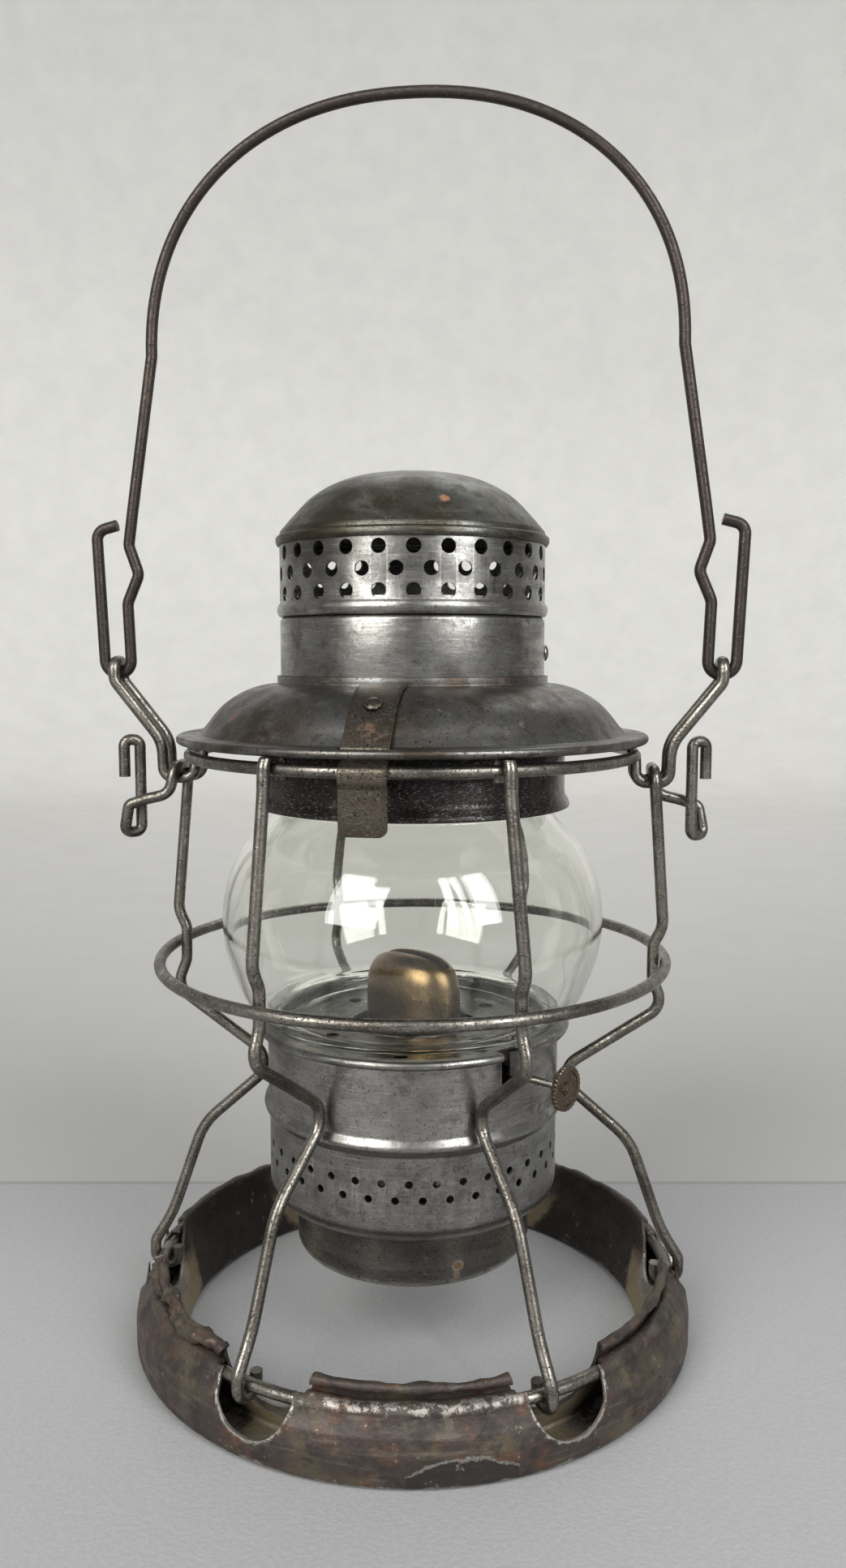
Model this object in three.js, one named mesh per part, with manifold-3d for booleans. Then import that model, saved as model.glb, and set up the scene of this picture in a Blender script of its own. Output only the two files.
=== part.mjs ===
// A short-globe railroad lantern: wire guard frame on a pressed base, glass globe,
// hinged lid with a vented chimney, drop-in oil fount with a flat-wick burner, and a wire bail.
// Millimetres, +Z up, the front (latch side) faces -Y, the ears lie along X, origin on the table
// at the middle of the base. Azimuths are in degrees from the front, growing towards +X.
import * as THREE from "three";
import { mergeVertices } from "three/addons/utils/BufferGeometryUtils.js";
import Module from "manifold-3d";

const wasm = await Module();
wasm.setup();

// Values that several pieces share
const wireDiameter = 3.6;
const wireRadius = wireDiameter / 2;
const fit = 0.3; // clearance between neighbouring pieces
const sheet = 0.8; // tinned steel sheet of the lid and the pot
const halfSheet = sheet / 2;
const overrun = 4; // how far a cutter passes the wall that it cuts
const weld = 0.001; // closer points of a route than this are one
const pitch = wireDiameter + fit; // centre distance of two wires that touch

// Wire frame
const topRingRadius = 69;
const topRingHeight = 185.7;
const hoopRadius = 79.3;
const hoopHeight = 121.5;
const baseRingHeight = 18.2;

// Base band
const baseOuterRadius = 88.9;
const baseTroughWidth = 16.6;
const baseInnerRadius = baseOuterRadius - baseTroughWidth;
const baseRingInset = 6.6;
const baseRingRadius = baseOuterRadius - baseRingInset;
const baseSheet = 0.9;
const baseNotchRadius = 12.2;
const baseTurn = 6;
const flapHeight = 24.6;

// Pot, its plate and the fount
const potRadius = 46.3;
const potTop = 100.4;
const potBeadHeight = 74.9;
const potBeadReach = 1.4;
const potFloor = 45;
const potMouthRadius = 38.1;
const fountRadius = 37.4;
const fountBottom = 27.3;
const fountTop = 70.5;
const plateDrop = 3.2;
const plateHeight = potTop - plateDrop;

// Globe
const glass = 2.4;
const globeRadius = 59.9;
const globeCollarRadius = 43.4;
const globeBottom = plateHeight + sheet + fit;
const globeDrop = 7.8; // from the top ring down to the top of the glass
const globeTop = topRingHeight - globeDrop;

// Lid
const neckRadius = 40.9;
const neckRise = 14.3; // from the top ring up to the foot of the neck
const neckBottom = topRingHeight + neckRise;
const ventBandRise = 42.1;
const ventBandBottom = topRingHeight + ventBandRise;
const ventBandHeight = 22.8;
const ventBandTop = ventBandBottom + ventBandHeight;
const domeHeight = 20.6;
const domeTop = ventBandTop + domeHeight;
const brimOverhang = 4;
const brimRadius = topRingRadius + brimOverhang;
const shoulderRise = 21.3;
const shoulderHeight = topRingHeight + shoulderRise;
const retainerRadius = 47.6;
const retainerLipReach = 1.6;
const retainerLipRadius = retainerRadius + retainerLipReach;
const retainerDrop = 16.1;
const retainerBottom = topRingHeight - retainerDrop;
const latchAzimuth = -4;
const latchWidth = 13.2;

// Bail and ears
const earOutset = 25.8;
const earReach = topRingRadius + earOutset;
const earRise = 28.2;
const earTop = topRingHeight + earRise;
const earHalfSpan = 4.25;
const bailRise = 169;
const bailTop = earTop + bailRise;
const bailLoopRadius = 4.4;

// Burner
const burnerAzimuth = 56.5;
const wickWidth = 16.4;
const wickThickness = 2.6;
const shaftDrop = 5.7;
const shaftHeight = plateHeight - shaftDrop;
const shaftRadius = 1.1;
const sprocketRadius = 2.4;
const wheelRadius = 6.65;
const wheelDistance = 61;
const hoodSpring = 105;
const hoodRise = 16.3;
const hoodTop = hoodSpring + hoodRise;
const hoodHalfWidth = 17.5;

// Fineness of the mesh
const wideSides = 30;
const narrowSides = 14;
const wireSides = 6;
const bendStep = 46; // degrees of bend between two rings of a wire

const deg = Math.PI / 180;
const root = new THREE.Group();

// A closed surface as a solid, with its faces turned outwards
function solid(geometry) {
  const bare = geometry.index ? geometry.toNonIndexed() : geometry.clone();
  bare.deleteAttribute("normal");
  bare.deleteAttribute("uv");
  const merged = mergeVertices(bare, weld / 10);
  const all = merged.index.array;
  const corners = [];
  for (let i = 0; i < all.length; i += 3) {
    const [a, b, c] = [all[i], all[i + 1], all[i + 2]];
    if (a !== b && b !== c && c !== a) corners.push(a, b, c);
  }
  const vertProperties = new Float32Array(merged.attributes.position.array);
  const build = (list) =>
    new wasm.Manifold(new wasm.Mesh({ numProp: 3, vertProperties, triVerts: new Uint32Array(list) }));
  const made = build(corners);
  if (made.volume() >= 0) return made;
  for (let i = 0; i < corners.length; i += 3) {
    [corners[i + 1], corners[i + 2]] = [corners[i + 2], corners[i + 1]];
  }
  return build(corners);
}

// The point at an azimuth, a radius and a height
function at(azimuth, radius, height) {
  return new THREE.Vector3(radius * Math.sin(azimuth * deg), -radius * Math.cos(azimuth * deg), height);
}

// A solid turned about the vertical axis from the front to an azimuth
function turned(shape, azimuth) {
  return shape.rotate([0, 0, azimuth]);
}

// An outline of [radius, height] pairs spun about the vertical axis
function spun(outline, sides = wideSides) {
  const points = outline.map(([radius, height]) => new THREE.Vector2(Math.max(radius, 0), height));
  return solid(new THREE.LatheGeometry(points, sides).rotateX(Math.PI / 2));
}

// The closed outline of a sheet that follows a centre line of [radius, height] pairs
function sheetOutline(line, thickness) {
  const left = [];
  const right = [];
  line.forEach(([x, y], i) => {
    const before = line[Math.max(i - 1, 0)];
    const after = line[Math.min(i + 1, line.length - 1)];
    const a = new THREE.Vector2(x - before[0], y - before[1]).normalize();
    const b = new THREE.Vector2(after[0] - x, after[1] - y).normalize();
    if (i === 0) a.copy(b);
    if (i === line.length - 1) b.copy(a);
    const along = a.clone().add(b).normalize();
    const reach = thickness / 2 / Math.max(along.dot(a), 0.5);
    const onAxis = x === 0;
    const sideways = onAxis ? 0 : -along.y * reach;
    const upwards = onAxis ? (thickness / 2) * Math.sign(along.x) : along.x * reach;
    left.push([x + sideways, y + upwards]);
    right.push([x - sideways, y - upwards]);
  });
  return [...left, ...right.reverse()];
}

// A spun sheet; one whose line leaves the axis has a closed middle
function spunSheet(line, thickness = sheet, sides = wideSides) {
  const outline = sheetOutline(line, thickness);
  if (line[0][0] > 0) outline.push(outline[0]);
  return spun(outline, sides);
}

// A quarter or other stretch of a circle as [x, y] pairs, from one angle to another
function arc(centreX, centreY, radius, from, to, pieces) {
  return Array.from({ length: pieces + 1 }, (_, i) => {
    const angle = (from + ((to - from) * i) / pieces) * deg;
    return [centreX + radius * Math.cos(angle), centreY + radius * Math.sin(angle)];
  });
}

// An upright prism: a flat outline in X and Z, with its thickness along Y
function prism(outline, depth) {
  const shape = new THREE.Shape(outline.map(([x, y]) => new THREE.Vector2(x, y)));
  const body = new THREE.ExtrudeGeometry(shape, { depth, bevelEnabled: false });
  return solid(body.translate(0, 0, -depth / 2).rotateX(Math.PI / 2));
}

// A box by its lowest and highest corners
function box(low, high) {
  const size = high.map((value, i) => value - low[i]);
  const middle = high.map((value, i) => (value + low[i]) / 2);
  return solid(new THREE.BoxGeometry(...size).translate(...middle));
}

// A round bar that points to the front, from one distance of the axis to another
function frontBar(radius, from, to, height, sides) {
  const bar = new THREE.CylinderGeometry(radius, radius, to - from, sides);
  return solid(bar.translate(0, -(from + to) / 2, height));
}

// A stretch of a flat ring between two azimuths
function sector(inner, outer, fromAzimuth, toAzimuth, low, high) {
  const shape = new THREE.Shape();
  shape.absarc(0, 0, outer, (fromAzimuth - 90) * deg, (toAzimuth - 90) * deg, false);
  shape.absarc(0, 0, inner, (toAzimuth - 90) * deg, (fromAzimuth - 90) * deg, true);
  const body = new THREE.ExtrudeGeometry(shape, {
    depth: high - low,
    bevelEnabled: false,
    curveSegments: 4,
  });
  return solid(body.translate(0, 0, low));
}

// A route through given points, one ring of the wire at each
class Route extends THREE.Curve {
  constructor(points) {
    super();
    this.points = points;
  }
  getPoint(t) {
    const last = this.points.length - 1;
    const place = Math.min(t * last, last - 1e-9);
    const i = Math.floor(place);
    return this.points[i].clone().lerp(this.points[i + 1], place - i);
  }
  getPointAt(t) {
    return this.getPoint(t);
  }
  getTangentAt(t) {
    const last = this.points.length - 1;
    const i = Math.round(t * last);
    const before = this.points[Math.max(i - 1, 0)];
    const after = this.points[Math.min(i + 1, last)];
    return after.clone().sub(before).normalize();
  }
}

// A round wire along a route
function wire(points, diameter = wireDiameter, sides = wireSides) {
  const ring = arc(0, 0, diameter / 2, 0, 360 - 360 / sides, sides - 1);
  const shape = new THREE.Shape(ring.map(([x, y]) => new THREE.Vector2(x, y)));
  const extrudePath = new Route(points);
  const steps = points.length - 1;
  return solid(new THREE.ExtrudeGeometry(shape, { steps, extrudePath, bevelEnabled: false }));
}

// The route of a wire bent at each corner to its radius; a corner is [point, bend radius]
function bent(corners) {
  const points = [corners[0][0]];
  for (let i = 1; i < corners.length - 1; i += 1) {
    const [corner, wanted] = corners[i];
    const back = corners[i - 1][0].clone().sub(corner);
    const on = corners[i + 1][0].clone().sub(corner);
    const room = 0.5 * Math.min(back.length(), on.length());
    back.normalize();
    on.normalize();
    const turn = Math.PI - back.angleTo(on);
    const setback = Math.min(wanted * Math.tan(turn / 2), room);
    const radius = setback / Math.tan(turn / 2);
    const inward = back.clone().add(on).normalize();
    const centre = corner.clone().addScaledVector(inward, radius / Math.cos(turn / 2));
    const start = corner.clone().addScaledVector(back, setback).sub(centre);
    const axis = new THREE.Vector3().crossVectors(on, back).normalize();
    const pieces = Math.max(1, Math.ceil(turn / (bendStep * deg)));
    for (let k = 0; k <= pieces; k += 1) {
      points.push(start.clone().applyAxisAngle(axis, (turn * k) / pieces).add(centre));
    }
  }
  points.push(corners[corners.length - 1][0]);
  return points.filter((point, i) => i === 0 || point.distanceTo(points[i - 1]) > weld);
}

// An arc of a level ring as a route
function ringRoute(radius, height, fromAzimuth, toAzimuth, pieces) {
  return Array.from({ length: pieces + 1 }, (_, i) =>
    at(fromAzimuth + ((toAzimuth - fromAzimuth) * i) / pieces, radius, height),
  );
}

// Adds a solid to the model as a named mesh with its own material
function add(name, shape, color, roughness, metalness, extra = {}) {
  const mesh = shape.getMesh();
  const geometry = new THREE.BufferGeometry();
  geometry.setAttribute("position", new THREE.BufferAttribute(new Float32Array(mesh.vertProperties), 3));
  geometry.setIndex(new THREE.BufferAttribute(new Uint32Array(mesh.triVerts), 1));
  geometry.computeVertexNormals();
  const material = new THREE.MeshStandardMaterial({ color, roughness, metalness, ...extra });
  const piece = new THREE.Mesh(geometry, material);
  piece.name = name;
  root.add(piece);
}

const addWire = (name, shape) => add(name, shape, 0x8a8780, 0.35, 0.9);
const addSheet = (name, shape) => add(name, shape, 0x83827e, 0.42, 0.85);
const addDark = (name, shape) => add(name, shape, 0x3c3531, 0.5, 0.8);
const addBrass = (name, shape) => add(name, shape, 0xa48a55, 0.3, 0.9);

// Closed ring of wire, its ends a fit apart at the given azimuth
function ringWire(radius, height, gapAzimuth, pieces) {
  const gap = fit / radius / deg;
  return wire(ringRoute(radius, height, gapAzimuth + gap / 2, gapAzimuth + 360 - gap / 2, pieces));
}

// Guard hoop and base ring
const hoopPieces = 38;
const ringSag = hoopRadius * (1 - Math.cos(Math.PI / hoopPieces)); // the flats of a ring lie this far in
const ringGapAzimuth = 180;
addWire("guard_hoop", ringWire(hoopRadius, hoopHeight, ringGapAzimuth, hoopPieces));
addWire("base_ring", ringWire(baseRingRadius, baseRingHeight, ringGapAzimuth, hoopPieces));

// Top ring: one wire that dips into a saddle and rises into an ear at each side
const saddleDrop = 8.5;
const saddleHeight = topRingHeight - saddleDrop;
const saddleWidth = 10.4;
const saddleBend = 3.4;
const earElbowRise = 3;
const earElbowHeight = topRingHeight + earElbowRise;
const earElbowBendRadius = 12;
const earTipLength = 6; // the upright last stretch of an ear
const earRingPieces = 8;
function topRingWire() {
  const leaveAngle = Math.asin(earHalfSpan / topRingRadius) / deg;
  const leaveReach = topRingRadius * Math.cos(leaveAngle * deg);
  const gap = fit / 2 / topRingRadius / deg;
  const leg = (side, hand) => {
    const y = side * earHalfSpan;
    const corner = (x, z) => new THREE.Vector3(hand * x, y, z);
    return [
      [corner(leaveReach, topRingHeight), 0],
      [corner(leaveReach + fit, saddleHeight), saddleBend],
      [corner(leaveReach + saddleWidth, saddleHeight), saddleBend],
      [corner(leaveReach + saddleWidth + fit, earElbowHeight), earElbowBendRadius],
      [corner(earReach, earTop - earTipLength), earHalfSpan],
      [corner(earReach, earTop), earHalfSpan],
    ];
  };
  const ear = (hand, first) => {
    const out = leg(first, hand);
    const back = leg(-first, hand).reverse();
    return bent([...out, ...back]);
  };
  const rearRight = ringRoute(topRingRadius, topRingHeight, 180 - gap, 90 + leaveAngle, earRingPieces);
  const front = ringRoute(topRingRadius, topRingHeight, 90 - leaveAngle, -90 + leaveAngle, 2 * earRingPieces);
  const rearLeft = ringRoute(topRingRadius, topRingHeight, -90 - leaveAngle, -180 + gap, earRingPieces);
  return [
    ...rearRight.slice(0, -1),
    ...ear(1, 1),
    ...front.slice(1, -1),
    ...ear(-1, -1),
    ...rearLeft.slice(1),
  ];
}
addWire("top_ring", wire(topRingWire()));

// The stretch of an upright below its top: past the hoop, in to the pot's waist, out to the base ring
const hoopKinkHeight = 11;
const hoopKinkBendRadius = 4;
const kinkReach = 2.9;
const hipDrop = 14.5;
const hipHeight = hoopHeight - hipDrop;
const hipBendRadius = 13;
const waistRise = 8.6; // above the bead of the pot
const waistHeight = potBeadHeight + waistRise;
const waistBendRadius = 4.5;
const waistBendShare = 0.47; // how far a bend of a right angle or so stays off its corner
const kneeInset = 12.5;
const kneeRadius = baseRingRadius - kneeInset;
const kneeHeight = 61.8;
const kneeBendRadius = 22;
const shinInset = 2.3;
const shinRadius = baseRingRadius - shinInset;
const shinHeight = 32;
const shinBendRadius = 40;
function lowerLeg(topAzimuth, footAzimuth, topHeight) {
  const bow = hoopRadius - pitch - ringSag;
  const waistRadius = potRadius + fit + wireRadius - waistBendRadius * waistBendShare;
  const twist = (topAzimuth - footAzimuth) / (topHeight - baseRingHeight);
  const azimuthAt = (z) => footAzimuth + twist * (z - baseRingHeight);
  const corner = (r, z, bend) => [at(azimuthAt(z), r, z), bend];
  const foot = baseRingRadius + pitch;
  const heel = baseRingHeight - pitch;
  return [
    corner(bow + kinkReach, hoopHeight + hoopKinkHeight, hoopKinkBendRadius),
    corner(bow, hoopHeight + hoopKinkHeight / 2, hoopKinkBendRadius),
    corner(bow, hoopHeight - hoopKinkHeight / 2, hoopKinkBendRadius),
    corner(hoopRadius - fit, hipHeight, hipBendRadius),
    corner(waistRadius, waistHeight, waistBendRadius),
    corner(kneeRadius, kneeHeight, kneeBendRadius),
    corner(shinRadius, shinHeight, shinBendRadius),
    corner(foot, baseRingHeight + pitch, pitch),
    corner(foot, heel, pitch),
    corner(foot - 2 * pitch, heel, pitch),
    corner(foot - 2 * pitch, baseRingHeight + wireRadius, 0),
  ];
}

// Front and rear uprights hook over the top ring, hammered thin where the lid rests
const hookTailLength = 7;
const hookThickness = 1.2;
const hookTop = topRingHeight + wireRadius + fit + hookThickness;
const shoulderBendRadius = 30;
const shoulderDrop = 10;
function hookedUpright(topAzimuth, footAzimuth) {
  const inside = topRingRadius - pitch;
  const outside = topRingRadius + pitch;
  const crown = topRingHeight + pitch;
  const corner = (r, z, bend) => [at(topAzimuth, r, z), bend];
  const full = wire(
    bent([
      corner(inside, crown - hookTailLength, 0),
      corner(inside, crown, pitch),
      corner(outside, crown, pitch),
      corner(outside + fit, crown - shoulderDrop, shoulderBendRadius),
      ...lowerLeg(topAzimuth, footAzimuth, topRingHeight),
    ]),
  );
  const side = baseOuterRadius + overrun;
  return full.subtract(box([-side, -side, hookTop], [side, side, hookTop + overrun]));
}
const hookedUprights = [
  ["upright_front_left", -26.5, -27],
  ["upright_front_right", 27, 32],
  ["upright_rear_right", 153, 152],
  ["upright_rear_left", -153, -148],
];
hookedUprights.forEach(([name, topAzimuth, footAzimuth]) => {
  addWire(name, hookedUpright(topAzimuth, footAzimuth));
});

// Side uprights hang on the saddle and end in an open hook beside it
const sideFootAzimuth = 92;
const eyeOutset = 5.6;
const hookArmOutset = 15;
const hookLoopOutset = 22.4;
const hookRiserOutset = 18;
const eyeReach = topRingRadius + eyeOutset;
const hookArmReach = topRingRadius + hookArmOutset;
const hookLoopReach = topRingRadius + hookLoopOutset;
const hookRiserReach = topRingRadius + hookRiserOutset;
const hookArmDrop = 15.1;
const hookLoopDrop = 25.9;
const hookCrownRise = 3.5;
const hookTipDrop = 8.2;
const hookArmHeight = topRingHeight - hookArmDrop;
const hookLoopHeight = topRingHeight - hookLoopDrop;
const hookCrownHeight = topRingHeight + hookCrownRise;
const hookTipHeight = topRingHeight - hookTipDrop;
const hookBendRadius = 2.2;
const armBendRadius = 5;
function sideUpright() {
  const span = earHalfSpan + pitch;
  const crown = saddleHeight + pitch;
  const topAzimuth = Math.atan2(eyeReach, span) / deg;
  const point = (x, y, z, bend) => [new THREE.Vector3(x, y, z), bend];
  const riserSide = span - pitch - fit;
  return wire(
    bent([
      point(hookLoopReach, span - wireRadius, hookTipHeight, 0),
      point(hookLoopReach, span - wireRadius, hookCrownHeight, hookBendRadius),
      point(hookRiserReach, riserSide, hookCrownHeight, hookBendRadius),
      point(hookRiserReach, riserSide, hookLoopHeight, hookBendRadius),
      point(hookLoopReach, span - fit, hookLoopHeight, hookBendRadius),
      point(hookLoopReach - wireRadius, span + fit, hookArmHeight - wireRadius, hookBendRadius),
      point(hookArmReach, span + fit, hookArmHeight, armBendRadius),
      point(eyeReach + wireRadius, span, hookArmHeight + wireRadius, armBendRadius),
      point(eyeReach, span, crown, pitch),
      point(eyeReach, -span, crown, pitch),
      ...lowerLeg(topAzimuth, sideFootAzimuth, crown),
    ]),
  );
}
addWire("upright_side_right", sideUpright());
addWire("upright_side_left", turned(sideUpright(), 180));

// Base band: a pressed trough of sheet whose outer skin is crimped over the base ring
const troughFlare = 14;
const crimpRadius = wireRadius + 2 * fit + baseSheet / 2;
const innerSkinTopRadius = baseRingRadius - wireRadius - 2 * fit - baseSheet / 2;
const notchHeight = 19.3;
const flapGapRadius = 15.5;
const flapGapDepth = 13.8;
const notchCount = 6;
function baseBand() {
  const half = baseSheet / 2;
  const outline = sheetOutline(
    [
      ...arc(baseRingRadius, baseRingHeight, crimpRadius, 120, 0, 3),
      [baseOuterRadius - half - baseSheet, troughFlare],
      [baseOuterRadius - half, baseSheet],
      [baseOuterRadius - baseSheet, half],
      [baseInnerRadius + baseSheet, half],
      [baseInnerRadius + half, baseSheet],
      [innerSkinTopRadius - baseSheet, troughFlare],
      [innerSkinTopRadius, baseRingHeight],
      [innerSkinTopRadius, flapHeight],
    ],
    baseSheet,
  );
  outline.push(outline[0]);
  let band = spun(outline, wideSides + 6);
  const notchStart = innerSkinTopRadius + baseSheet;
  const notch = frontBar(baseNotchRadius, notchStart, baseOuterRadius + overrun, notchHeight, 12);
  const gapHeight = flapHeight - flapGapDepth + flapGapRadius;
  const gap = frontBar(flapGapRadius, baseInnerRadius, baseRingRadius, gapHeight, 14);
  for (let i = 0; i < notchCount; i += 1) {
    const azimuth = ((i + 0.5) * 360) / notchCount + baseTurn;
    band = band.subtract(turned(notch, azimuth)).subtract(turned(gap, azimuth));
  }
  return band;
}
add("base_band", baseBand(), 0x40372f, 0.6, 0.7);

// Pot: the outer cup that the waists of the uprights hold
const potShoulder = 5.2;
const ventCount = 36;
const potVentRadius = 1.2;
const potVentHeights = [64.1, 59.2];
const slotHalfHeight = 1.6;
const slotTravel = 9;
const slotHalfAngle = 2;
const shaftOffset = wickThickness / 2 + fit + sprocketRadius;
function shaftAzimuthAt(radius) {
  return burnerAzimuth - Math.asin(shaftOffset / radius) / deg;
}
function ventRow(count, radius, height, wallRadius, phaseShare, sides) {
  const hole = frontBar(radius, wallRadius - overrun, wallRadius + overrun, height, sides);
  return Array.from({ length: count }, (_, i) => turned(hole, ((i + phaseShare) * 360) / count));
}
function pot() {
  const wall = potRadius - halfSheet;
  const bead = wall + potBeadReach;
  const skirt = wall - fit;
  const beadHalf = 2.5 * potBeadReach;
  const line = [
    [wall, potTop],
    [wall, potBeadHeight + beadHalf],
    [bead, potBeadHeight],
    [skirt, potBeadHeight - beadHalf],
    ...arc(skirt - potShoulder, potFloor + halfSheet + potShoulder, potShoulder, 0, -90, 2),
    [potMouthRadius, potFloor + halfSheet],
  ];
  const slotAzimuth = shaftAzimuthAt(wall);
  const legAzimuth = slotAzimuth - slotTravel;
  const low = shaftHeight - slotHalfHeight;
  const high = shaftHeight + slotHalfHeight;
  const inner = wall - overrun;
  const outer = wall + overrun;
  const legStart = legAzimuth - slotHalfAngle;
  const across = sector(inner, outer, legStart, slotAzimuth + slotHalfAngle, low, high);
  const down = sector(inner, outer, legStart, legAzimuth + slotHalfAngle, low, potTop + overrun);
  const holes = potVentHeights.flatMap((height, row) =>
    ventRow(ventCount, potVentRadius, height, wall, (row + 1) / 2, 4),
  );
  const cup = spunSheet(line, sheet, ventCount).subtract(wasm.Manifold.union(holes));
  return cup.subtract(across).subtract(down);
}
addSheet("pot", pot());

// Globe plate: the dished plate with a rolled rim that closes the pot and carries the globe
const plateRimRadius = 49.9;
const rimDrop = 2;
const plateHoleRadius = 20.4;
const plateVentCount = 8;
const plateVentRadius = 2.2;
const plateVentCircle = 32;
function globePlate() {
  const floor = plateHeight + halfSheet;
  const dish = potRadius - sheet - fit - halfSheet;
  const top = potTop + fit + halfSheet;
  const line = [
    [plateRimRadius - halfSheet, top - rimDrop],
    [plateRimRadius - halfSheet, top - halfSheet],
    [plateRimRadius - rimDrop, top + halfSheet],
    [dish, top],
    [dish, floor],
    [plateHoleRadius + rimDrop, floor],
    [plateHoleRadius + halfSheet, floor + rimDrop / 2],
  ];
  const legAzimuth = shaftAzimuthAt(potRadius) - slotTravel;
  const notch = sector(potRadius - sheet, plateRimRadius + overrun, legAzimuth - 2 * slotHalfAngle,
    legAzimuth + 2 * slotHalfAngle, potTop - rimDrop, potTop + overrun);
  const post = new THREE.CylinderGeometry(plateVentRadius, plateVentRadius, 2 * overrun, 6);
  const vent = solid(post.rotateX(Math.PI / 2).translate(0, -plateVentCircle, floor));
  const vents = Array.from({ length: plateVentCount }, (_, i) => turned(vent, (i * 360) / plateVentCount));
  return spunSheet(line).subtract(notch).subtract(wasm.Manifold.union(vents));
}
addSheet("globe_plate", globePlate());

// Globe: blown and pressed clear glass, open at both ends, its belly between two collars
const globeFoot = 4.4;
function globe() {
  const half = glass / 2;
  const collar = globeCollarRadius - half;
  const belly = globeRadius - half;
  const bulge = belly - collar;
  const foot = globeBottom + globeFoot;
  const lineShares = [
    [0.02, 0], [0.34, 0.032], [0.62, 0.1], [0.82, 0.206], [0.955, 0.307], [1, 0.397],
    [0.97, 0.503], [0.84, 0.608], [0.6, 0.709], [0.24, 0.794], [0.03, 0.857], [0, 1],
  ];
  const line = lineShares.map(([radiusShare, heightShare]) => [
    collar + bulge * radiusShare,
    foot + (globeTop - foot) * heightShare,
  ]);
  return spunSheet([[collar, globeBottom], ...line], glass);
}
add("globe", globe(), 0xe4e8e0, 0.06, 0, { transparent: true, opacity: 0.3 });

// Fount: the oil reservoir, hung in the pot by its folded bead
const fountBeadRadius = potMouthRadius + 1.6;
const fountNeckRadius = 12.6;
const fountNeckTop = 76;
const fountCorner = 3;
function fount() {
  const wall = fountRadius - halfSheet;
  const bottom = fountBottom + halfSheet;
  const seat = potFloor + sheet + fit + halfSheet;
  const neck = fountNeckRadius - halfSheet;
  return spunSheet(
    [
      [0, bottom],
      ...arc(wall - fountCorner, bottom + fountCorner, fountCorner, -90, 0, 2),
      [wall, seat - sheet],
      [wall + halfSheet, seat],
      [fountBeadRadius - halfSheet, seat],
      [fountBeadRadius, seat + sheet],
      [fountBeadRadius - halfSheet, seat + 2 * sheet],
      [wall + halfSheet, seat + 2 * sheet],
      [wall, seat + 3 * sheet],
      [wall, fountTop - fountCorner],
      [wall - fountCorner, fountTop],
      [neck + sheet, fountTop + fountCorner / 2],
      [neck, fountTop + fountCorner],
      [neck, fountNeckTop],
    ],
    sheet,
    narrowSides + 6,
  );
}
addSheet("fount", fount());

// Burner base: a threaded skirt in the fount's neck that widens into the air gallery
const burnerSkirtBottom = 69;
const galleryRadius = 19.8;
const galleryTop = 86;
const galleryVentCount = 8;
const galleryVentRadius = 1.5;
const tubeWall = 1;
const tubeHalfWidth = wickWidth / 2 + fit + tubeWall;
const tubeHalfThickness = wickThickness / 2 + fit + tubeWall;
function burnerBase() {
  const skirt = fountNeckRadius - sheet - fit - halfSheet;
  const deck = fountNeckTop + fit + halfSheet;
  const wall = galleryRadius - halfSheet;
  const body = spunSheet(
    [
      [skirt, burnerSkirtBottom],
      [skirt, deck - halfSheet],
      [skirt + halfSheet, deck],
      [wall - sheet, deck],
      [wall, deck + sheet],
      [wall, galleryTop],
    ],
    sheet,
    narrowSides,
  );
  const holes = ventRow(galleryVentCount, galleryVentRadius, (deck + galleryTop) / 2, wall, 0, 6);
  return body.subtract(wasm.Manifold.union(holes));
}
addBrass("burner_base", burnerBase());

// Burner deck: the flat lid of the gallery that holds the wick tube and the hood
const deckThickness = 1;
const deckTop = galleryTop + fit + deckThickness;
function burnerDeck() {
  const plate = new THREE.CylinderGeometry(galleryRadius, galleryRadius, deckThickness, narrowSides);
  const disc = solid(plate.rotateX(Math.PI / 2).translate(0, 0, deckTop - deckThickness / 2));
  const halfWidth = tubeHalfWidth + fit;
  const halfThickness = tubeHalfThickness + fit;
  const hole = box(
    [-halfThickness, -halfWidth, galleryTop - overrun],
    [halfThickness, halfWidth, deckTop + overrun],
  );
  return disc.subtract(turned(hole, burnerAzimuth));
}
addBrass("burner_deck", burnerDeck());

// Wick tube: a flat tube with a window for the sprockets and two lugs that carry the shaft.
// It is drawn with its wide way along Y, the shaft on its -X side, and turned to the burner's azimuth.
const tubeBottom = 64;
const tubeRise = 8;
const tubeTop = hoodSpring + tubeRise;
const lugThickness = 1.2;
const lugInset = 2.6;
const windowHalfWidth = 5.2;
function wickTube() {
  const outer = box(
    [-tubeHalfThickness, -tubeHalfWidth, tubeBottom],
    [tubeHalfThickness, tubeHalfWidth, tubeTop],
  );
  const boreX = tubeHalfThickness - tubeWall;
  const boreY = tubeHalfWidth - tubeWall;
  const bore = box([-boreX, -boreY, tubeBottom - overrun], [boreX, boreY, tubeTop + overrun]);
  const windowHalf = sprocketRadius + 2 * fit;
  const window = box(
    [-overrun, -windowHalfWidth, shaftHeight - windowHalf],
    [0, windowHalfWidth, shaftHeight + windowHalf],
  );
  const lugFar = shaftOffset + shaftRadius + 3 * fit;
  const lugHalf = shaftRadius + 3 * fit;
  const lugAt = (y) =>
    box(
      [-lugFar, y - lugThickness / 2, shaftHeight - lugHalf],
      [tubeWall / 2 - tubeHalfThickness, y + lugThickness / 2, shaftHeight + lugHalf],
    );
  const lugY = tubeHalfWidth - lugInset;
  const bearing = frontBar(shaftRadius + fit, -tubeHalfWidth, tubeHalfWidth, shaftHeight, 10);
  const body = outer.add(lugAt(-lugY)).add(lugAt(lugY)).subtract(bore).subtract(window);
  return turned(body.subtract(bearing.translate([-shaftOffset, 0, 0])), burnerAzimuth);
}
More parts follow.
